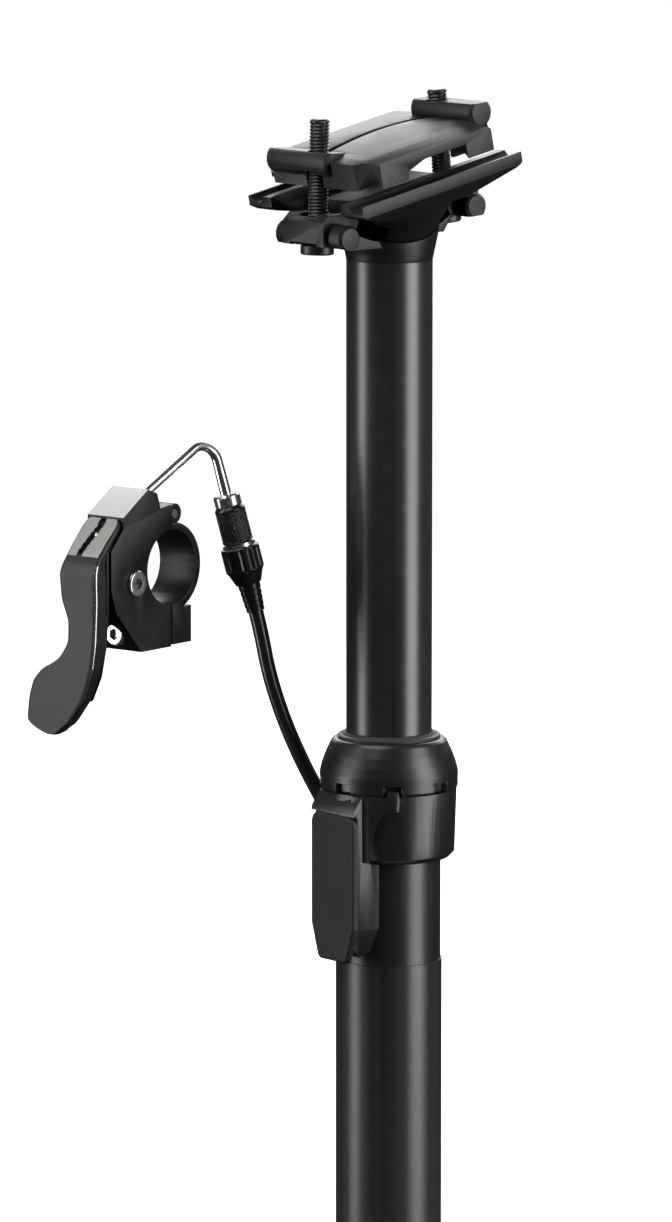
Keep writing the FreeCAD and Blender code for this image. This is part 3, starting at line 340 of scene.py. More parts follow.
def make_wear() -> bpy.types.ShaderNodeTree:
    """Colour that turns to bare metal where the surface is most convex, broken up by noise."""
    group = new_group(Effect.WEAR.value, {"Color": (0.1, 0.1, 0.1, 1), "Bare": (0.6, 0.6, 0.6, 1),
                                          "Amount": 0.2, "Scale": 300.0},
                      {"Color": "NodeSocketColor", "Mask": "NodeSocketFloat"})
    wire = Wiring(group)
    source, out = wire.add("NodeGroupInput"), wire.add("NodeGroupOutput")
    shape = wire.add("ShaderNodeNewGeometry")
    place = wire.add("ShaderNodeTexCoord")
    noise = wire.add("ShaderNodeTexNoise")
    noise.inputs["Detail"].default_value = 4.0
    wire.join(place.outputs["Object"], noise.inputs["Vector"])
    wire.join(source.outputs["Scale"], noise.inputs["Scale"])
    convex = wire.math("MULTIPLY", wire.math("SUBTRACT", shape.outputs["Pointiness"], 0.53), 9.0,
                       True)
    broken = wire.math("MULTIPLY", convex, wire.math("ADD", noise.outputs[0], 0.2), True)
    mask = wire.math("MULTIPLY", broken, source.outputs["Amount"], True)
    mix = wire.add("ShaderNodeMix", data_type="RGBA")
    wire.join(mask, mix.inputs["Factor"])
    wire.join(source.outputs["Color"], mix.inputs[6])
    wire.join(source.outputs["Bare"], mix.inputs[7])
    wire.join(mix.outputs[2], out.inputs["Color"])
    wire.join(mask, out.inputs["Mask"])
    return group


def make_dust() -> bpy.types.ShaderNodeTree:
    """A trace of pale dust on faces that look up."""
    group = new_group(Effect.DUST.value, {"Color": (0.1, 0.1, 0.1, 1), "Dust": (0.5, 0.48, 0.45, 1),
                                          "Amount": 0.05},
                      {"Color": "NodeSocketColor"})
    wire = Wiring(group)
    source, out = wire.add("NodeGroupInput"), wire.add("NodeGroupOutput")
    shape = wire.add("ShaderNodeNewGeometry")
    parts = wire.add("ShaderNodeSeparateXYZ")
    wire.join(shape.outputs["Normal"], parts.inputs[0])
    place = wire.add("ShaderNodeTexCoord")
    noise = wire.add("ShaderNodeTexNoise")
    noise.inputs["Scale"].default_value = 700.0
    wire.join(place.outputs["Object"], noise.inputs["Vector"])
    up = wire.math("MULTIPLY", wire.math("SUBTRACT", parts.outputs[2], 0.35), 1.5, True)
    mask = wire.math("MULTIPLY", wire.math("MULTIPLY", up, noise.outputs[0]),
                     source.outputs["Amount"], True)
    mix = wire.add("ShaderNodeMix", data_type="RGBA")
    wire.join(mask, mix.inputs["Factor"])
    wire.join(source.outputs["Color"], mix.inputs[6])
    wire.join(source.outputs["Dust"], mix.inputs[7])
    wire.join(mix.outputs[2], out.inputs["Color"])
    return group


@dataclass(frozen=True)
class Finish:
    """One surface finish: its colour, gloss, grain, wear and dust."""

    name: str
    slot: str
    color: tuple[float, float, float]
    metallic: float = 0.0
    roughness: float = 0.4
    spread: float = 0.08
    grain_scale: float = 1400.0
    grain_depth: float = 0.00001
    stretch: float = 1.0
    wear: float = 0.15
    bare: tuple[float, float, float] = (0.55, 0.56, 0.58)
    dust: float = 0.04
    coat: float = 0.0
    sheen: float = 0.0
    specular: float = 0.5

    def build(self) -> bpy.types.Material:
        """Make the material, once per finish."""
        made = bpy.data.materials.get(self.name)
        if made:
            return made
        made = bpy.data.materials.new(self.name)
        made.use_nodes = True
        wire = Wiring(made.node_tree)
        shader = made.node_tree.nodes["Principled BSDF"]
        shader.inputs["Metallic"].default_value = self.metallic
        shader.inputs["Coat Weight"].default_value = self.coat
        shader.inputs["Coat Roughness"].default_value = 0.12
        shader.inputs["Sheen Weight"].default_value = self.sheen
        shader.inputs["Specular IOR Level"].default_value = self.specular
        groups = {}
        for effect in Effect:
            groups[effect] = wire.add("ShaderNodeGroup",
                                      node_tree=bpy.data.node_groups[effect.value])
        grain, wear, dust = groups[Effect.GRAIN], groups[Effect.WEAR], groups[Effect.DUST]
        grain.inputs["Scale"].default_value = self.grain_scale
        grain.inputs["Stretch"].default_value = self.stretch
        grain.inputs["Roughness"].default_value = self.roughness
        grain.inputs["Spread"].default_value = self.spread
        wear.inputs["Color"].default_value = (*self.color, 1)
        wear.inputs["Bare"].default_value = (*self.bare, 1)
        wear.inputs["Amount"].default_value = self.wear
        dust.inputs["Amount"].default_value = self.dust
        wire.join(wear.outputs["Color"], dust.inputs["Color"])
        wire.join(dust.outputs["Color"], shader.inputs["Base Color"])
        wire.join(grain.outputs["Roughness"], shader.inputs["Roughness"])
        bump = wire.add("ShaderNodeBump")
        bump.inputs["Strength"].default_value = 0.5
        bump.inputs["Distance"].default_value = self.grain_depth
        wire.join(grain.outputs["Height"], bump.inputs["Height"])
        wire.join(bump.outputs["Normal"], shader.inputs["Normal"])
        return made


TUBE_BLACK = Finish("satin_black_tube", "mast_black", (0.010, 0.010, 0.011), roughness=0.36,
                    spread=0.04, wear=0.05, specular=0.55)
STANCHION_BLACK = Finish("hard_black_tube", "stanchion_black", (0.008, 0.008, 0.009),
                         roughness=0.30, spread=0.03, wear=0.03, specular=0.6, grain_depth=4e-6)
COLLAR_BLACK = Finish("machined_black", "collar_black", (0.010, 0.010, 0.011), roughness=0.34,
                      wear=0.15, stretch=6.0)
COLLAR_EDGE = Finish("machined_edge", "collar_black", (0.03, 0.03, 0.032), metallic=0.2,
                     roughness=0.34, wear=0.1)
COVER_BLACK = Finish("moulded_black", "cover_black", (0.010, 0.010, 0.011), roughness=0.55,
                     grain_scale=2200, grain_depth=2.5e-5, wear=0.03, specular=0.32)
SEAL_RUBBER = Finish("wiper_rubber", "seal_rubber", (0.010, 0.010, 0.011), roughness=0.6,
                     wear=0.0, sheen=0.15)
POLYMER = Finish("bearing_polymer", "bearing_polymer", (0.09, 0.09, 0.09), roughness=0.5, wear=0.0)
FOAM = Finish("grey_foam", "foam_grey", (0.12, 0.12, 0.12), roughness=0.95, grain_scale=3000,
              grain_depth=8e-5, wear=0.0, sheen=0.3)
TURNED_SILVER = Finish("turned_silver", "cartridge_silver", (0.62, 0.63, 0.65), metallic=1.0,
                       roughness=0.28, stretch=12.0, wear=0.0)
BRASS = Finish("plain_brass", "key_brass", (0.62, 0.45, 0.20), metallic=1.0, roughness=0.32)
HEAD_BLACK = Finish("forged_black", "head_black", (0.008, 0.008, 0.009), roughness=0.42,
                    grain_depth=2e-5, wear=0.05, specular=0.28)
PLATE_GREY = Finish("forged_grey", "plate_grey", (0.014, 0.0143, 0.0155), metallic=0.0,
                    roughness=0.44, grain_depth=2e-5, wear=0.06, specular=0.28)
PLATE_EDGE = Finish("forged_edge", "plate_grey", (0.022, 0.0225, 0.024), metallic=0.15,
                    roughness=0.38)
STEEL = Finish("bright_steel", "steel", (0.60, 0.61, 0.63), metallic=1.0, roughness=0.24,
               wear=0.0)
BLACK_STEEL = Finish("black_oxide", "black_steel", (0.016, 0.016, 0.017), metallic=0.3,
                     roughness=0.36, wear=0.3)
BRACKET_BLACK = Finish("blasted_black", "lever_black", (0.005, 0.005, 0.0053), metallic=0.0,
                       roughness=0.40, grain_depth=3e-5, wear=0.05, specular=0.22)
# Painted highlight: the bracket's up-and-out facing faces take this light grey in place of the top
# light they catch.
BRACKET_PAINTED_HIGHLIGHT = Finish("bracket_painted_highlight", "bracket_silver", (0.62, 0.61, 0.615), metallic=0.2,
                        roughness=0.5, grain_depth=2e-5, wear=0.0, dust=0.0)
# Painted highlight: the band's 45-degree outer face takes this grey in place of the top light it
# catches.
BAND_PAINTED_HIGHLIGHT = Finish("band_painted_highlight", "bracket_silver", (0.36, 0.345, 0.33), metallic=0.3,
                     roughness=0.42, grain_depth=2e-5, wear=0.0, dust=0.0)
LEVER_BLACK = Finish("lever_satin", "lever_black", (0.010, 0.0102, 0.0110), metallic=0.0,
                     roughness=0.42, wear=0.04, specular=0.28)
# Painted highlight: the arm's rounded edge facing the camera takes this bright grey in place of the
# light running along it.
LEVER_EDGE_PAINTED_HIGHLIGHT = Finish("lever_painted_edge_highlight", "lever_black", (0.30, 0.305, 0.32), metallic=0.9,
                    roughness=0.26)
POLISHED = Finish("polished_tube", "noodle_chrome", (0.78, 0.79, 0.81), metallic=1.0,
                  roughness=0.24, wear=0.0, grain_depth=2e-6)
BARREL_BLACK = Finish("knurled_black", "lever_black", (0.014, 0.014, 0.015), metallic=0.4,
                      roughness=0.30, wear=0.4)
CABLE_BLACK = Finish("cable_sleeve", "cable_black", (0.013, 0.013, 0.014), roughness=0.28,
                     wear=0.0, coat=0.2)


def dress(item: bpy.types.Object, finish: Finish, edge: Finish | None = None) -> None:
    """Give an object its finish, and a second one for its broken edges."""
    item.data.materials.clear()
    item.data.materials.append(finish.build())
    if edge:
        item.data.materials.append(edge.build())


def settle(item: bpy.types.Object, body: str, finish: Finish, *nodes: str,
           edge: Finish | None = None) -> None:
    """Dress a new piece, let it ride on its body and stand for its CAD nodes."""
    dress(item, finish, edge)
    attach(item, body)
    if nodes:
        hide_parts(*nodes)
    LOG.info("%s rides on %s", item.name, body)


def hexagon(angle: np.ndarray, flat: float) -> np.ndarray:
    """The radius of a hexagon of that half width across its flats: flat / cos(a mod 60 - 30)."""
    turn = np.mod(angle, TURN / 6) - TURN / 12
    return flat / np.cos(turn)


def inside(value: np.ndarray, low: float, high: float, edge: float) -> np.ndarray:
    """1 between low and high and 0 outside, with straight ramps of width edge."""
    return np.clip((value - low) / edge, 0, 1) * np.clip((high - value) / edge, 0, 1)


# ---------------------------------------------------------------- sub-assemblies

@dataclass
class CableRun:
    """The cable from the lever to the collar, with its bent tube and barrel adjuster."""

    cable_diameter: float = 4.5
    cable_length: float = 71.6
    bend: float = 6.0
    thin_end: float = 1.3
    thick_end: float = 1.75
    start: tuple[float, float, float] = (-30.26, 38.46, 320.0)
    axis: tuple[float, float, float] = (0.187, -0.157, -0.970)
    route: tuple[tuple[float, float, float], ...] = (
        (-24.46, 33.59, 289.93), (-22.69, 32.10, 280.70), (-20.79, 30.77, 267.80),
        (-17.57, 28.07, 254.50), (-13.70, 24.43, 242.00), (-9.36, 20.27, 230.50),
        (-6.22, 17.63, 223.00))

    def frame(self) -> Matrix:
        """The adjuster's own frame, with Z down its axis."""
        return axis_frame(self.start, self.axis)

    def make_cable(self) -> None:
        """The cable sleeve: a NURBS spline through the route's control points."""
        curve = bpy.data.curves.new("cable_sleeve_curve", "CURVE")
        curve.dimensions = "3D"
        spline = curve.splines.new("NURBS")
        spline.points.add(len(self.route) - 1)
        places = np.concatenate([np.array(self.route) * MM, np.ones((len(self.route), 1))], 1)
        spline.points.foreach_set("co", places.ravel())
        spline.order_u = 3
        spline.use_endpoint_u = True
        spline.resolution_u = 24
        curve.bevel_depth = self.cable_diameter / 2 * MM
        curve.bevel_resolution = 8
        curve.use_fill_caps = True
        item = bpy.data.objects.new("cable_sleeve", curve)
        bpy.context.scene.collection.objects.link(item)
        settle(item, "frame", CABLE_BLACK, "cable_housing")

    def make_noodle(self) -> None:
        """The bent tube: a line, an arc and a line, swept by a circle that grows to its end."""
        axis = np.array(self.axis) / np.linalg.norm(self.axis)
        corner = np.array(self.start) - 20 * axis
        seat = carried(np.array([[-12.0, 0.0, 17.9]]) * MM, LEVER_FRAME)[0] / MM
        into = (corner - seat) / np.linalg.norm(corner - seat)
        half = np.arccos(np.clip(into @ axis, -1, 1)) / 2
        reach = self.bend * np.tan(half)
        inward = (axis - into) / np.linalg.norm(axis - into)
        centre = corner + inward * self.bend / np.cos(half)
        spread = np.linspace(-half, half, 21)[:, None]
        sideways = (into + axis) / np.linalg.norm(into + axis)
        arc = centre + self.bend * (np.sin(spread) * sideways - np.cos(spread) * inward)
        run = np.linspace(0, 1, 25)[:-1, None]
        first = seat + run * (corner - into * reach - seat)
        last = corner + axis * reach + np.linspace(0, 1, 12)[1:, None] * axis * (23 - reach)
        path = np.concatenate([first, arc, last])
        gone = np.concatenate([[0], np.cumsum(np.linalg.norm(np.diff(path, axis=0), axis=1))])
        radii = self.thin_end + (self.thick_end - self.thin_end) * (gone / gone[-1]) ** 2
        item = sweep("bent_tube", path * MM, radii * MM)
        settle(item, "frame", POLISHED, "noodle")

    def make_adjuster(self) -> None:
        """The slotted sleeve, knurled barrel, fluted lock nut and ribbed ferrule."""
        frame = self.frame()

        def knurl(angle: np.ndarray, height: np.ndarray, radius: np.ndarray) -> np.ndarray:
            """Diamond knurl: two crossed waves, cut only into the grip."""
            cut = np.abs(np.sin(15 * angle + 2.4 * height) * np.sin(15 * angle - 2.4 * height))
            return -0.32 * (1 - cut) * inside(height, 3.4, 12.6, 0.3) * (radius > 4.0)

        def flutes(angle: np.ndarray, height: np.ndarray, radius: np.ndarray) -> np.ndarray:
            """Twelve shallow finger flutes round the nut."""
            return (-0.45 * np.clip(np.cos(12 * angle), 0, 1) ** 2
                    * inside(height, 15.0, 21.8, 0.5) * (radius > 4.5))

        barrel = filled(loop([(2.65, 2), (3.9, 2), (4.6, 3.1), (4.6, 12.9), (4.2, 13.4),
                              (2.65, 13.4)], 0.25), 0.3)
        settle(lathe("knurled_barrel", barrel, frame, 180, knurl), "barrel_adjuster", BARREL_BLACK,
               "barrel_adjuster")
        nut = filled(loop([(2.6, 14.5), (5.4, 14.5), (5.8, 15.0), (5.8, 21.6), (5.2, 22.4),
                           (3.8, 26), (1.7, 26), (1.7, 24), (2.6, 24)], 0.3), 0.4)
        settle(lathe("fluted_lock_nut", nut, frame, 144, flutes), "frame", BARREL_BLACK,
               "lock_nut")
        ribs = [(1.7, 26.0), (3.3, 26.0), (3.3, 27.6), (3.0, 27.9), (3.15, 28.3), (3.15, 29.3),
                (2.9, 29.6), (3.02, 30.0), (3.02, 31.0), (2.8, 31.3), (2.9, 31.7), (2.9, 32.7),
                (2.7, 33.0), (2.75, 34.5), (2.3, 34.5), (2.3, 31.0), (1.7, 31.0)]
        settle(lathe("ribbed_ferrule", loop(ribs, 0.15), frame), "frame", BARREL_BLACK,
               "cable_ferrule")
        dress(FRAME["nodes"]["adjuster_sleeve"], POLISHED)
        dress(FRAME["nodes"]["adjuster_ring"], POLISHED)

    def make_grommet(self) -> None:
        """The lipped ring round the cable where it enters the collar."""
        end, before = np.array(self.route[-1]), np.array(self.route[-2])
        out = (before - end) / np.linalg.norm(before - end)
        frame = axis_frame(tuple(end + out * 4.0), tuple(out))
        ring = loop([(2.3, -1.0), (3.2, -1.0), (3.2, 0.3), (2.9, 0.8), (2.3, 0.8)], 0.25)
        item = lathe("cable_grommet", ring, frame, 64)
        settle(item, "frame", SEAL_RUBBER)

    def build(self) -> None:
        """Make every piece of the cable run."""
        self.make_cable()
        self.make_noodle()
        self.make_adjuster()
        self.make_grommet()


@dataclass
class Collar:
    """The threaded collar at the top of the mast, its cap and its seals."""

    cap_base: float = 235.5
    notch_angle: float = math.radians(233)
    notch_half: float = 2.6
    notches: int = 8

    def scallop(self, angle: np.ndarray, height: np.ndarray, radius: np.ndarray) -> np.ndarray:
        """Cut the wrench notches: within a notch's width of each centre the wall steps in."""
        step = TURN / self.notches
        away = np.abs(np.mod(angle - self.notch_angle + step / 2, step) - step / 2) * radius
        depth = inside(away, -9.0, self.notch_half, 0.35)
        low = np.clip((self.cap_base + 3.2 - height) / 0.25, 0, 1)
        return -1.5 * depth * low * (radius > 19.5)

    def build(self) -> None:
        """Make the cap and the wiper seal, and dress the rest."""
        base = self.cap_base
        outline = [(17.0, base), (20.1, base), (20.5, base + 0.7), (20.5, base + 5.1),
                   (19.75, base + 8.0), (18.6, base + 11.0), (17.1, base + 14.1),
                   (16.3, base + 15.0), (14.8, base + 15.0), (14.8, base + 13.1),
                   (13.2, base + 13.1), (13.2, base + 11.9), (15.4, base + 11.9),
                   (15.4, base + 7.0), (17.0, base + 7.0)]
        profile = filled(loop(outline, 0.35), 0.45)
        item = lathe("scalloped_cap", profile, Matrix.Identity(4), 360, self.scallop)
        settle(item, "frame", COLLAR_BLACK, "collar_cap")
        rim = base + 15.0
        lip = [(12.76, rim - 1.9), (14.8, rim - 1.9), (14.8, rim), (15.2, rim), (15.2, rim + 0.9),
               (14.3, rim + 1.2), (13.9, rim + 0.9), (13.4, rim + 1.8), (12.76, rim + 1.5)]
        settle(lathe("wiper_lip", loop(lip, 0.2), Matrix.Identity(4), 160), "frame", SEAL_RUBBER,
               "wiper_seal")
        housing = softened("collar_housing", 0.35, edge_slot=True)
        settle(housing, "frame", COLLAR_BLACK, edge=COLLAR_EDGE)
        dress(FRAME["nodes"]["actuator_cover"], COVER_BLACK)
        for node, finish in (("foam_ring", FOAM), ("upper_bushing", POLYMER),
                             ("actuator_pivot_pin", STEEL), ("actuator_lever", STEEL),
                             ("transfer_cable", STEEL)):
            dress(FRAME["nodes"][node], finish)


@dataclass
class PostTubes:
    """The mast, the stanchion and the gas cartridge inside them."""

    finishes: tuple[tuple[str, Finish], ...] = (
        ("mast", TUBE_BLACK), ("mast_end_plug", TUBE_BLACK), ("stanchion", STANCHION_BLACK),
        ("stanchion_foot", STANCHION_BLACK), ("lower_bushing", POLYMER), ("guide_keys", BRASS),
        ("cartridge_body", TURNED_SILVER), ("cartridge_gland", TURNED_SILVER),
        ("cartridge_top_nut", TURNED_SILVER), ("cartridge_shaft", STEEL), ("shaft_nut", STEEL),
        ("release_pin", STEEL), ("release_lever", STEEL), ("release_pivot_pin", STEEL))

    def build(self) -> None:
        """Give each tube and cartridge part its finish."""
        for node, finish in self.finishes:
            dress(FRAME["nodes"][node], finish)


@dataclass
class SaddleClamp:
    """The head of the post and its two-bolt saddle clamp."""

    neck: float = 392.3
    shank: float = 3.0
    bolt_length: float = 34.0
    pitch: float = 1.0
    seat: float = 2.72
    bolts: tuple[tuple[str, float, float, float], ...] = (
        ("front", -27.5, 8.6, 1.5), ("rear", 21.0, 15.3, -4.8))

    def thread(self, angle: np.ndarray, height: np.ndarray, radius: np.ndarray) -> np.ndarray:
        """A helical V thread on the shank and a hexagon socket in the head."""
        wave = np.abs(np.mod(height / self.pitch - angle / TURN, 1.0) * 2 - 1)
        cut = -0.38 * wave * inside(height, 4.0, self.bolt_length - 0.4, 0.5)
        on_shank = (radius > self.shank - 0.05) & (radius < self.shank + 0.05)
        socket = (radius > 2.2) & (radius < 2.5) & (height < -self.seat - 0.5)
        return np.where(socket, hexagon(angle, 2.3) - radius, cut * on_shank)

    def make_bolt(self, name: str, x: float, rise: float, lean: float) -> None:
        """One clamp bolt, threaded above its washer, with a socket head below."""
        frame = (Matrix.Translation(Vector((x, 0, self.neck + rise)) * MM)
                 @ Matrix.Rotation(math.radians(lean), 4, "Y"))
        low, top = -self.seat, self.bolt_length
        shank = self.shank
        head = rounded_line([(0, low - 1.0), (2.4, low - 1.0), (2.4, low - 2.7), (4.6, low - 2.7),
                             (4.9, low - 2.3), (4.9, low), (shank, low)], 0.25)
        body = filled(np.array([(shank, low + 0.01), (shank, top - 0.5), (shank - 0.5, top),
                                (0.0, top)]), 0.17)
        item = lathe(f"{name}_bolt_piece", np.concatenate([head, body]), frame, 40, self.thread,
                     solid=True)
        settle(item, f"{name}_bolt", BLACK_STEEL, f"{name}_clamp_bolt")

    def build(self) -> None:
        """Break the edges of the forgings and make the bolts."""
        for node, body, width, finish, edge in (
                ("post_head", "stanchion", 0.5, HEAD_BLACK, COLLAR_EDGE),
                ("lower_cradle", "saddle_clamp", 0.6, HEAD_BLACK, COLLAR_EDGE),
                ("left_rail_plate", "saddle_clamp", 0.8, PLATE_GREY, PLATE_EDGE),
                ("right_rail_plate", "saddle_clamp", 0.8, PLATE_GREY, PLATE_EDGE),
                ("front_barrel_nut", "front_nut", 0.3, PLATE_GREY, PLATE_EDGE),
                ("rear_barrel_nut", "rear_nut", 0.3, PLATE_GREY, PLATE_EDGE),
                ("front_barrel_washer", "front_bolt", 0.3, HEAD_BLACK, COLLAR_EDGE),
                ("rear_barrel_washer", "rear_bolt", 0.3, HEAD_BLACK, COLLAR_EDGE)):
            settle(softened(node, width, edge_slot=True), body, finish, edge=edge)
        for bolt in self.bolts:
            self.make_bolt(*bolt)


@dataclass
class ThumbLever:
    """The handlebar clamp and the thumb lever that pulls the cable."""

    pivot: tuple[float, float] = (-16.2, -3.0)
    half: float = 6.8
    screw_drop: float = 18.3
    screw_start: float = -18.5
    fold_rounding: float = 4.0
    blade_step: float = 0.6
    blade_corner: float = 1.1
    groove_half: float = 0.95
    groove_depth: float = 1.1
    groove_low: float = 7.0
    blade_line: tuple[tuple[float, float], ...] = (
        (-22.7, 16.5), (-31.6, 7.6), (-34.6, 2.5), (-34.6, -30), (-34.55, -47.0))
    blade: tuple[tuple[float, float, float, float], ...] = (
        (16.6, -6.6, 6.6, 1.7), (12.0, -6.6, 6.6, 2.4), (7.6, -6.6, 6.5, 3.6),
        (6.3, -6.6, 6.2, 4.4), (1.2, -7.6, 6.4, 5.9), (-6.5, -6.8, 6.6, 6.0),
        (-12.8, -4.3, 6.3, 6.0), (-19.2, -4.5, 6.0, 6.0), (-24.3, -8.0, 5.2, 5.6),
        (-27.8, -14.6, 4.6, 5.2), (-31.3, -17.8, 3.4, 5.0), (-36.0, -19.4, 1.5, 4.8),
        (-42.8, -20.3, -3.5, 4.5), (-45.0, -19.5, -6.0, 4.5), (-47.3, -13.0, -8.0, 4.4))

    def make_pivot_bolt(self) -> None:
        """The pivot bolt: a pin with a low round head and a hexagon socket."""
        frame = (LEVER_FRAME @ Matrix.Translation(Vector((self.pivot[0], self.half,
                                                          self.pivot[1])) * MM)
                 @ Matrix.Rotation(math.pi / 2, 4, "X"))
        face = self.half * 2

        def socket(angle: np.ndarray, height: np.ndarray, radius: np.ndarray) -> np.ndarray:
            """Turn the socket's round wall into a hexagon."""
            wall = (radius > 1.5) & (radius < 1.75) & (height > face - 2)
            return np.where(wall, hexagon(angle, 1.6) - radius, 0.0)

        profile = rounded_line([(0, 0), (2.5, 0), (2.5, face), (4.0, face), (4.0, face + 0.5),
                                (3.6, face + 1.0), (1.6, face + 1.0), (1.6, face - 0.9),
                                (0, face - 0.9)], 0.2)
        item = lathe("pivot_bolt_piece", profile, frame, 96, socket, solid=True)
        settle(item, "frame", STEEL, "lever_pivot_bolt")

    def make_clamp_screw(self) -> None:
        """The clamp screw, with a hexagon socket in its head."""
        frame = (LEVER_FRAME @ Matrix.Translation(Vector((self.screw_start, 0,
                                                          -self.screw_drop)) * MM)
                 @ Matrix.Rotation(math.pi / 2, 4, "Y"))

        def socket(angle: np.ndarray, height: np.ndarray, radius: np.ndarray) -> np.ndarray:
            """Turn the socket's round wall into a hexagon."""
            wall = (radius > 1.6) & (radius < 1.9) & (height < 2.0)
            return np.where(wall, hexagon(angle, 1.6) - radius, 0.0)

        profile = rounded_line([(0, 1.6), (1.75, 1.6), (1.75, 0), (3.1, 0), (3.5, 0.5), (3.5, 3),
                                (2.0, 3), (2.0, 26.6), (1.6, 27), (0, 27)], 0.2)
        item = lathe("clamp_screw_piece", profile, frame, 96, socket, solid=True)
        settle(item, "frame", STEEL, "clamp_screw")

    def slot_place(self, height: np.ndarray) -> np.ndarray:
        """How far across the band its groove lies at a height: it leans outwards going down."""
        return np.interp(height, [self.groove_low, 2 * self.groove_low], [-1.6, 0.2])

    def brighten(self, item: bpy.types.Object, finish: Finish,
                 facing: tuple[float, float, float], low: float, high: float,
                 least: float = 0.93) -> None:
        """Paint a highlight on the faces that look one way between two heights: they take a lighter
        finish that stands in for the light they catch.

        Args:
            item: The object to mark.
            finish: The painted-highlight finish of the marked faces.
            facing: The direction they look, in the lever's frame.
            low: The lowest height of a marked face.
            high: The highest height of a marked face.
            least: The least cosine between the face's normal and that direction.
        """
        item.data.materials.append(finish.build())
        slot = len(item.data.materials) - 1
        home = LEVER_FRAME.inverted()
        wanted = LEVER_FRAME.to_3x3() @ Vector(facing)
        for face in item.data.polygons:
            place = home @ face.center / MM
            # Faces in the band's groove stay out of the band's painted highlight, so the groove
            # stays black as painted shade.
            sunk = abs(-place.y - float(self.slot_place(place.z))) < 1.0 and facing[1] == 0
            if low < place.z < high and face.normal.dot(wanted) > least and not (
                    sunk and finish is BAND_PAINTED_HIGHLIGHT):
                face.material_index = slot

    def make_blade(self) -> None:
        """The folded band and the arm of the lever, as one smooth blade.

        At a place s on the outer line p(s), with inward normal n, the section is a rounded
        rectangle p + d n + w y: d runs from 0 to the thickness, w from the low to the high side,
        and the corners are quarter circles. A shallow groove runs down the band's outer face.
        """
        line = filled(rounded_line(self.blade_line, self.fold_rounding, 10), self.blade_step)
        along = np.gradient(line, axis=0)
        along /= np.linalg.norm(along, axis=1, keepdims=True)
        inward = np.stack([-along[:, 1], along[:, 0]], axis=1)
        height = line[:, 1]
        table = np.array(self.blade)[::-1]
        low, high, thick = (np.interp(height, table[:, 0], table[:, k]) for k in (1, 2, 3))
        weights = np.hanning(9) / np.hanning(9).sum()
        low, high, thick = (np.convolve(np.pad(side, 4, mode="edge"), weights, mode="valid")
                            for side in (low, high, thick))
        reach = np.interp(np.arange(len(line)), [0, 2, 5, len(line) - 7, len(line) - 3,
                                                 len(line) - 1], [0.80, 0.95, 1, 1, 0.86, 0.5])
        half, middle = (high - low)[:, None] / 2, (high + low)[:, None] / 2
        half, thick = half * reach[:, None], (thick * np.sqrt(reach))[:, None] / 2
        round_off = np.minimum(self.blade_corner, 0.84 * thick)
        run, arc = np.linspace(-1, 1, 31)[1:-1], np.linspace(0, TURN / 4, 7)
        one = np.ones(29)
        side = np.concatenate([run, np.ones(7), one, np.ones(7), run[::-1], -np.ones(7), -one,
                               -np.ones(7)])
        face = np.concatenate([-one, -np.ones(7), run, np.ones(7), one, np.ones(7), run[::-1],
                               -np.ones(7)])
        side_turn = np.concatenate([0 * one, np.sin(arc), one, np.cos(arc), 0 * one,
                                    -np.sin(arc), -one, -np.cos(arc)])
        face_turn = np.concatenate([-one, -np.cos(arc), 0 * one, np.sin(arc), one, np.cos(arc),
                                    0 * one, -np.sin(arc)])
        across = middle + (half - round_off) * side + round_off * side_turn
        depth = thick + (thick - round_off) * face + round_off * face_turn
        groove = np.abs(across - self.slot_place(height)[:, None]) < self.groove_half
        groove = groove & (height > self.groove_low)[:, None] & (face_turn < -0.99)[None, :]
        depth = depth + self.groove_depth * groove
        spot = line[:, None, :] + inward[:, None, :] * depth[..., None]
        points = np.stack([spot[..., 0], -across, spot[..., 1]], axis=-1)
        ends = [np.repeat(points[index].mean(axis=0)[None, None], points.shape[1], axis=1)
                for index in (0, -1)]
        points = carried(np.concatenate([ends[0], points, ends[1]]) * MM, LEVER_FRAME)
        item = surface("lever_blade", points, loop_rows=False, sharp=50)
        settle(item, "lever", LEVER_BLACK, "remote_lever")
        # Painted highlight on the band's outer face, its groove left black as painted shade.
        self.brighten(item, BAND_PAINTED_HIGHLIGHT, (-0.707, 0, 0.707), 6.5, 17.0)
        # Painted highlight along the arm's rounded edge facing the camera.
        self.brighten(item, LEVER_EDGE_PAINTED_HIGHLIGHT, (-0.707, -0.707, 0), -48.0, 4.0, 0.86)

    def build(self) -> None:
        """Make the lever, the clamp and their screws."""
        turn = LEVER_FRAME.to_3x3()
        trims = [(LEVER_FRAME @ (Vector((-29.5, 0, 0)) * MM), turn @ Vector((-1, 0, 0))),
                 (LEVER_FRAME @ (Vector((-28.6, 0, 8.2)) * MM), turn @ Vector((-1, 0, 1)))]
        settle(softened("remote_lever", 0.4, trims=trims), "lever", LEVER_BLACK)
        self.make_blade()
        bracket = softened("lever_bracket", 0.3)
        settle(bracket, "frame", BRACKET_BLACK)
        # Painted highlight on the bracket's up-and-out facing faces.
        self.brighten(bracket, BRACKET_PAINTED_HIGHLIGHT, (-0.707, 0, 0.707), 12.0, 40.0)
        settle(softened("clamp_strap", 0.35), "frame", BRACKET_BLACK)
        self.make_pivot_bolt()
        self.make_clamp_screw()
        dress(FRAME["nodes"]["strap_hinge_pin"], STEEL)
        dress(FRAME["nodes"]["cable_nipple"], STEEL)


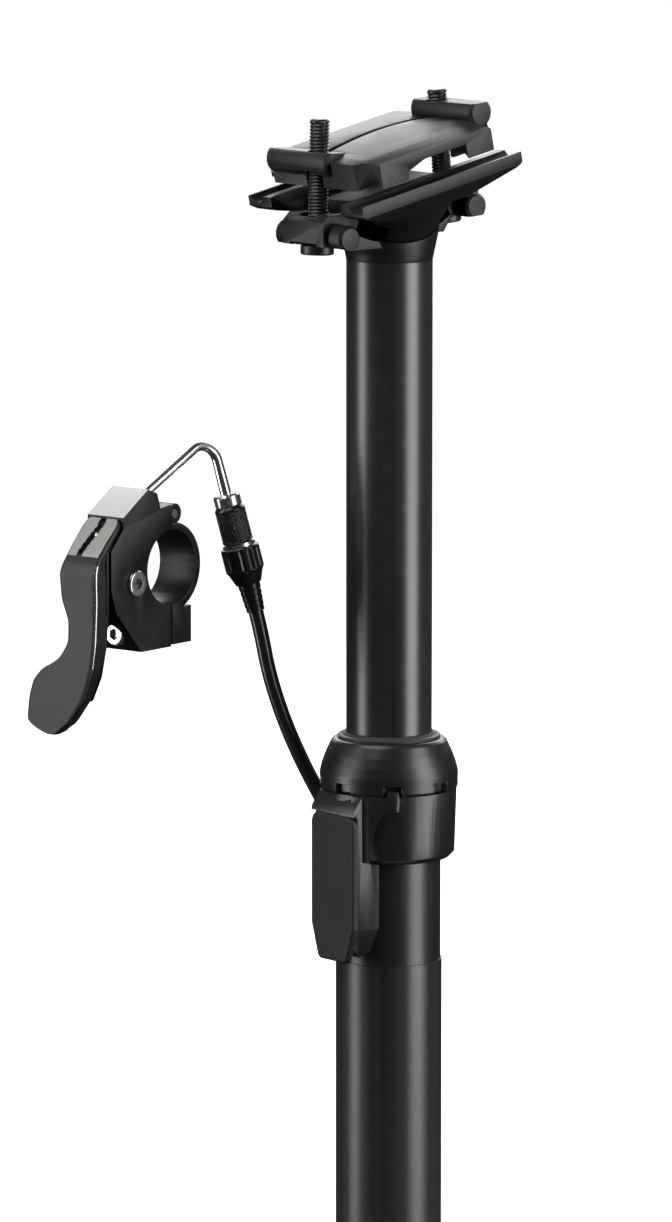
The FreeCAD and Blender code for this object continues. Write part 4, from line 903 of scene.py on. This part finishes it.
@dataclass
class Studio:
    """The camera, the soft lights and the pale floor."""

    azimuth: float = -40.0
    elevation: float = 8.6
    distance: float = 2.1
    height_seen: float = 0.361
    target: tuple[float, float, float] = (-0.0120, 0.0101, 0.288)

    def back(self, azimuth: float, elevation: float) -> Vector:
        """The unit vector from the object towards a viewer at that azimuth and elevation."""
        a, e = math.radians(azimuth), math.radians(elevation)
        return Vector((math.sin(a) * math.cos(e), -math.cos(a) * math.cos(e), math.sin(e)))

    def make_camera(self) -> None:
        """A long lens at the front left, a little above the object."""
        lens = bpy.data.cameras.new("camera")
        lens.sensor_width = 36.0
        lens.lens = 36.0 * self.distance / self.height_seen
        camera = bpy.data.objects.new("camera", lens)
        back = self.back(self.azimuth, self.elevation)
        camera.location = Vector(self.target) + back * self.distance
        camera.rotation_mode = "QUATERNION"
        camera.rotation_quaternion = (-back).to_track_quat("-Z", "Y")
        bpy.context.scene.collection.objects.link(camera)
        bpy.context.scene.camera = camera

    def make_light(self, name: str, turn: float, elevation: float, distance: float,
                   size: tuple[float, float], power: float) -> None:
        """A soft box facing the object, turned from the camera's side by an angle."""
        data = bpy.data.lights.new(name, "AREA")
        data.shape = "RECTANGLE"
        data.size, data.size_y = size
        data.energy = power
        item = bpy.data.objects.new(name, data)
        back = self.back(self.azimuth + turn, elevation)
        item.location = Vector(self.target) + back * distance
        item.rotation_mode = "QUATERNION"
        item.rotation_quaternion = (-back).to_track_quat("-Z", "Y")
        item.visible_camera = False
        bpy.context.scene.collection.objects.link(item)

    def make_floor(self) -> None:
        """A wide pale floor, as a disc worked out on rings of radius r at angle a."""
        radius = np.array([0.0, 0.4, 2.0, 14.0])[:, None]
        angle = np.linspace(0, TURN, 64, endpoint=False)[None, :]
        points = np.stack([radius * np.cos(angle), radius * np.sin(angle),
                           np.full((4, 64), -0.0005)], -1)
        floor = surface("floor", points[::-1], loop_rows=False)
        paper = bpy.data.materials.new("floor_paper")
        paper.use_nodes = True
        shader = paper.node_tree.nodes["Principled BSDF"]
        shader.inputs["Base Color"].default_value = (0.9, 0.9, 0.9, 1)
        shader.inputs["Roughness"].default_value = 0.9
        shader.inputs["Emission Color"].default_value = (1, 1, 1, 1)
        shader.inputs["Emission Strength"].default_value = 1.0
        floor.data.materials.append(paper)
        floor.visible_glossy = False
        floor.visible_diffuse = False

    def make_world(self) -> None:
        """White behind the object, and a dim grey room in its reflections."""
        world = bpy.data.worlds.new("studio")
        world.use_nodes = True
        wire = Wiring(world.node_tree)
        light = wire.add("ShaderNodeLightPath")
        mix = wire.add("ShaderNodeMix", data_type="RGBA")
        mix.inputs[6].default_value = (0.035, 0.035, 0.037, 1)
        mix.inputs[7].default_value = (1, 1, 1, 1)
        wire.join(light.outputs["Is Camera Ray"], mix.inputs["Factor"])
        wire.join(mix.outputs[2], world.node_tree.nodes["Background"].inputs["Color"])
        bpy.context.scene.world = world

    def build(self) -> None:
        """Set up the whole studio."""
        self.make_camera()
        self.make_floor()
        self.make_world()
        self.make_light("left_strip", -78, 6, 1.1, (0.40, 1.3), 10)
        self.make_light("right_strip", 64, 6, 1.1, (0.62, 1.3), 18)
        self.make_light("top_box", -50, 60, 1.2, (0.8, 0.7), 7)
        self.make_light("back_box", 175, 30, 1.6, (2.2, 1.0), 30)
        self.make_light("front_fill", -60, 20, 1.9, (0.5, 0.6), 2)
        bpy.context.scene.view_settings.view_transform = "Standard"


def main() -> None:
    """Build the studio and every sub-assembly in order."""
    logging.basicConfig(level=logging.INFO, format="%(name)s: %(message)s")
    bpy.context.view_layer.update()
    for make in (make_grain, make_wear, make_dust):
        make()
    for part in (Studio(), CableRun(), PostTubes(), Collar(), SaddleClamp(), ThumbLever()):
        part.build()
        LOG.info("%s is built", type(part).__name__)


if __name__ == "__main__":
    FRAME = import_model()
    LEVER_FRAME = (Matrix.Translation(Vector((-58.2, 38.4, 302.8)) * MM)
                   @ Matrix.Rotation(math.radians(12.0), 4, "Z"))
    main()
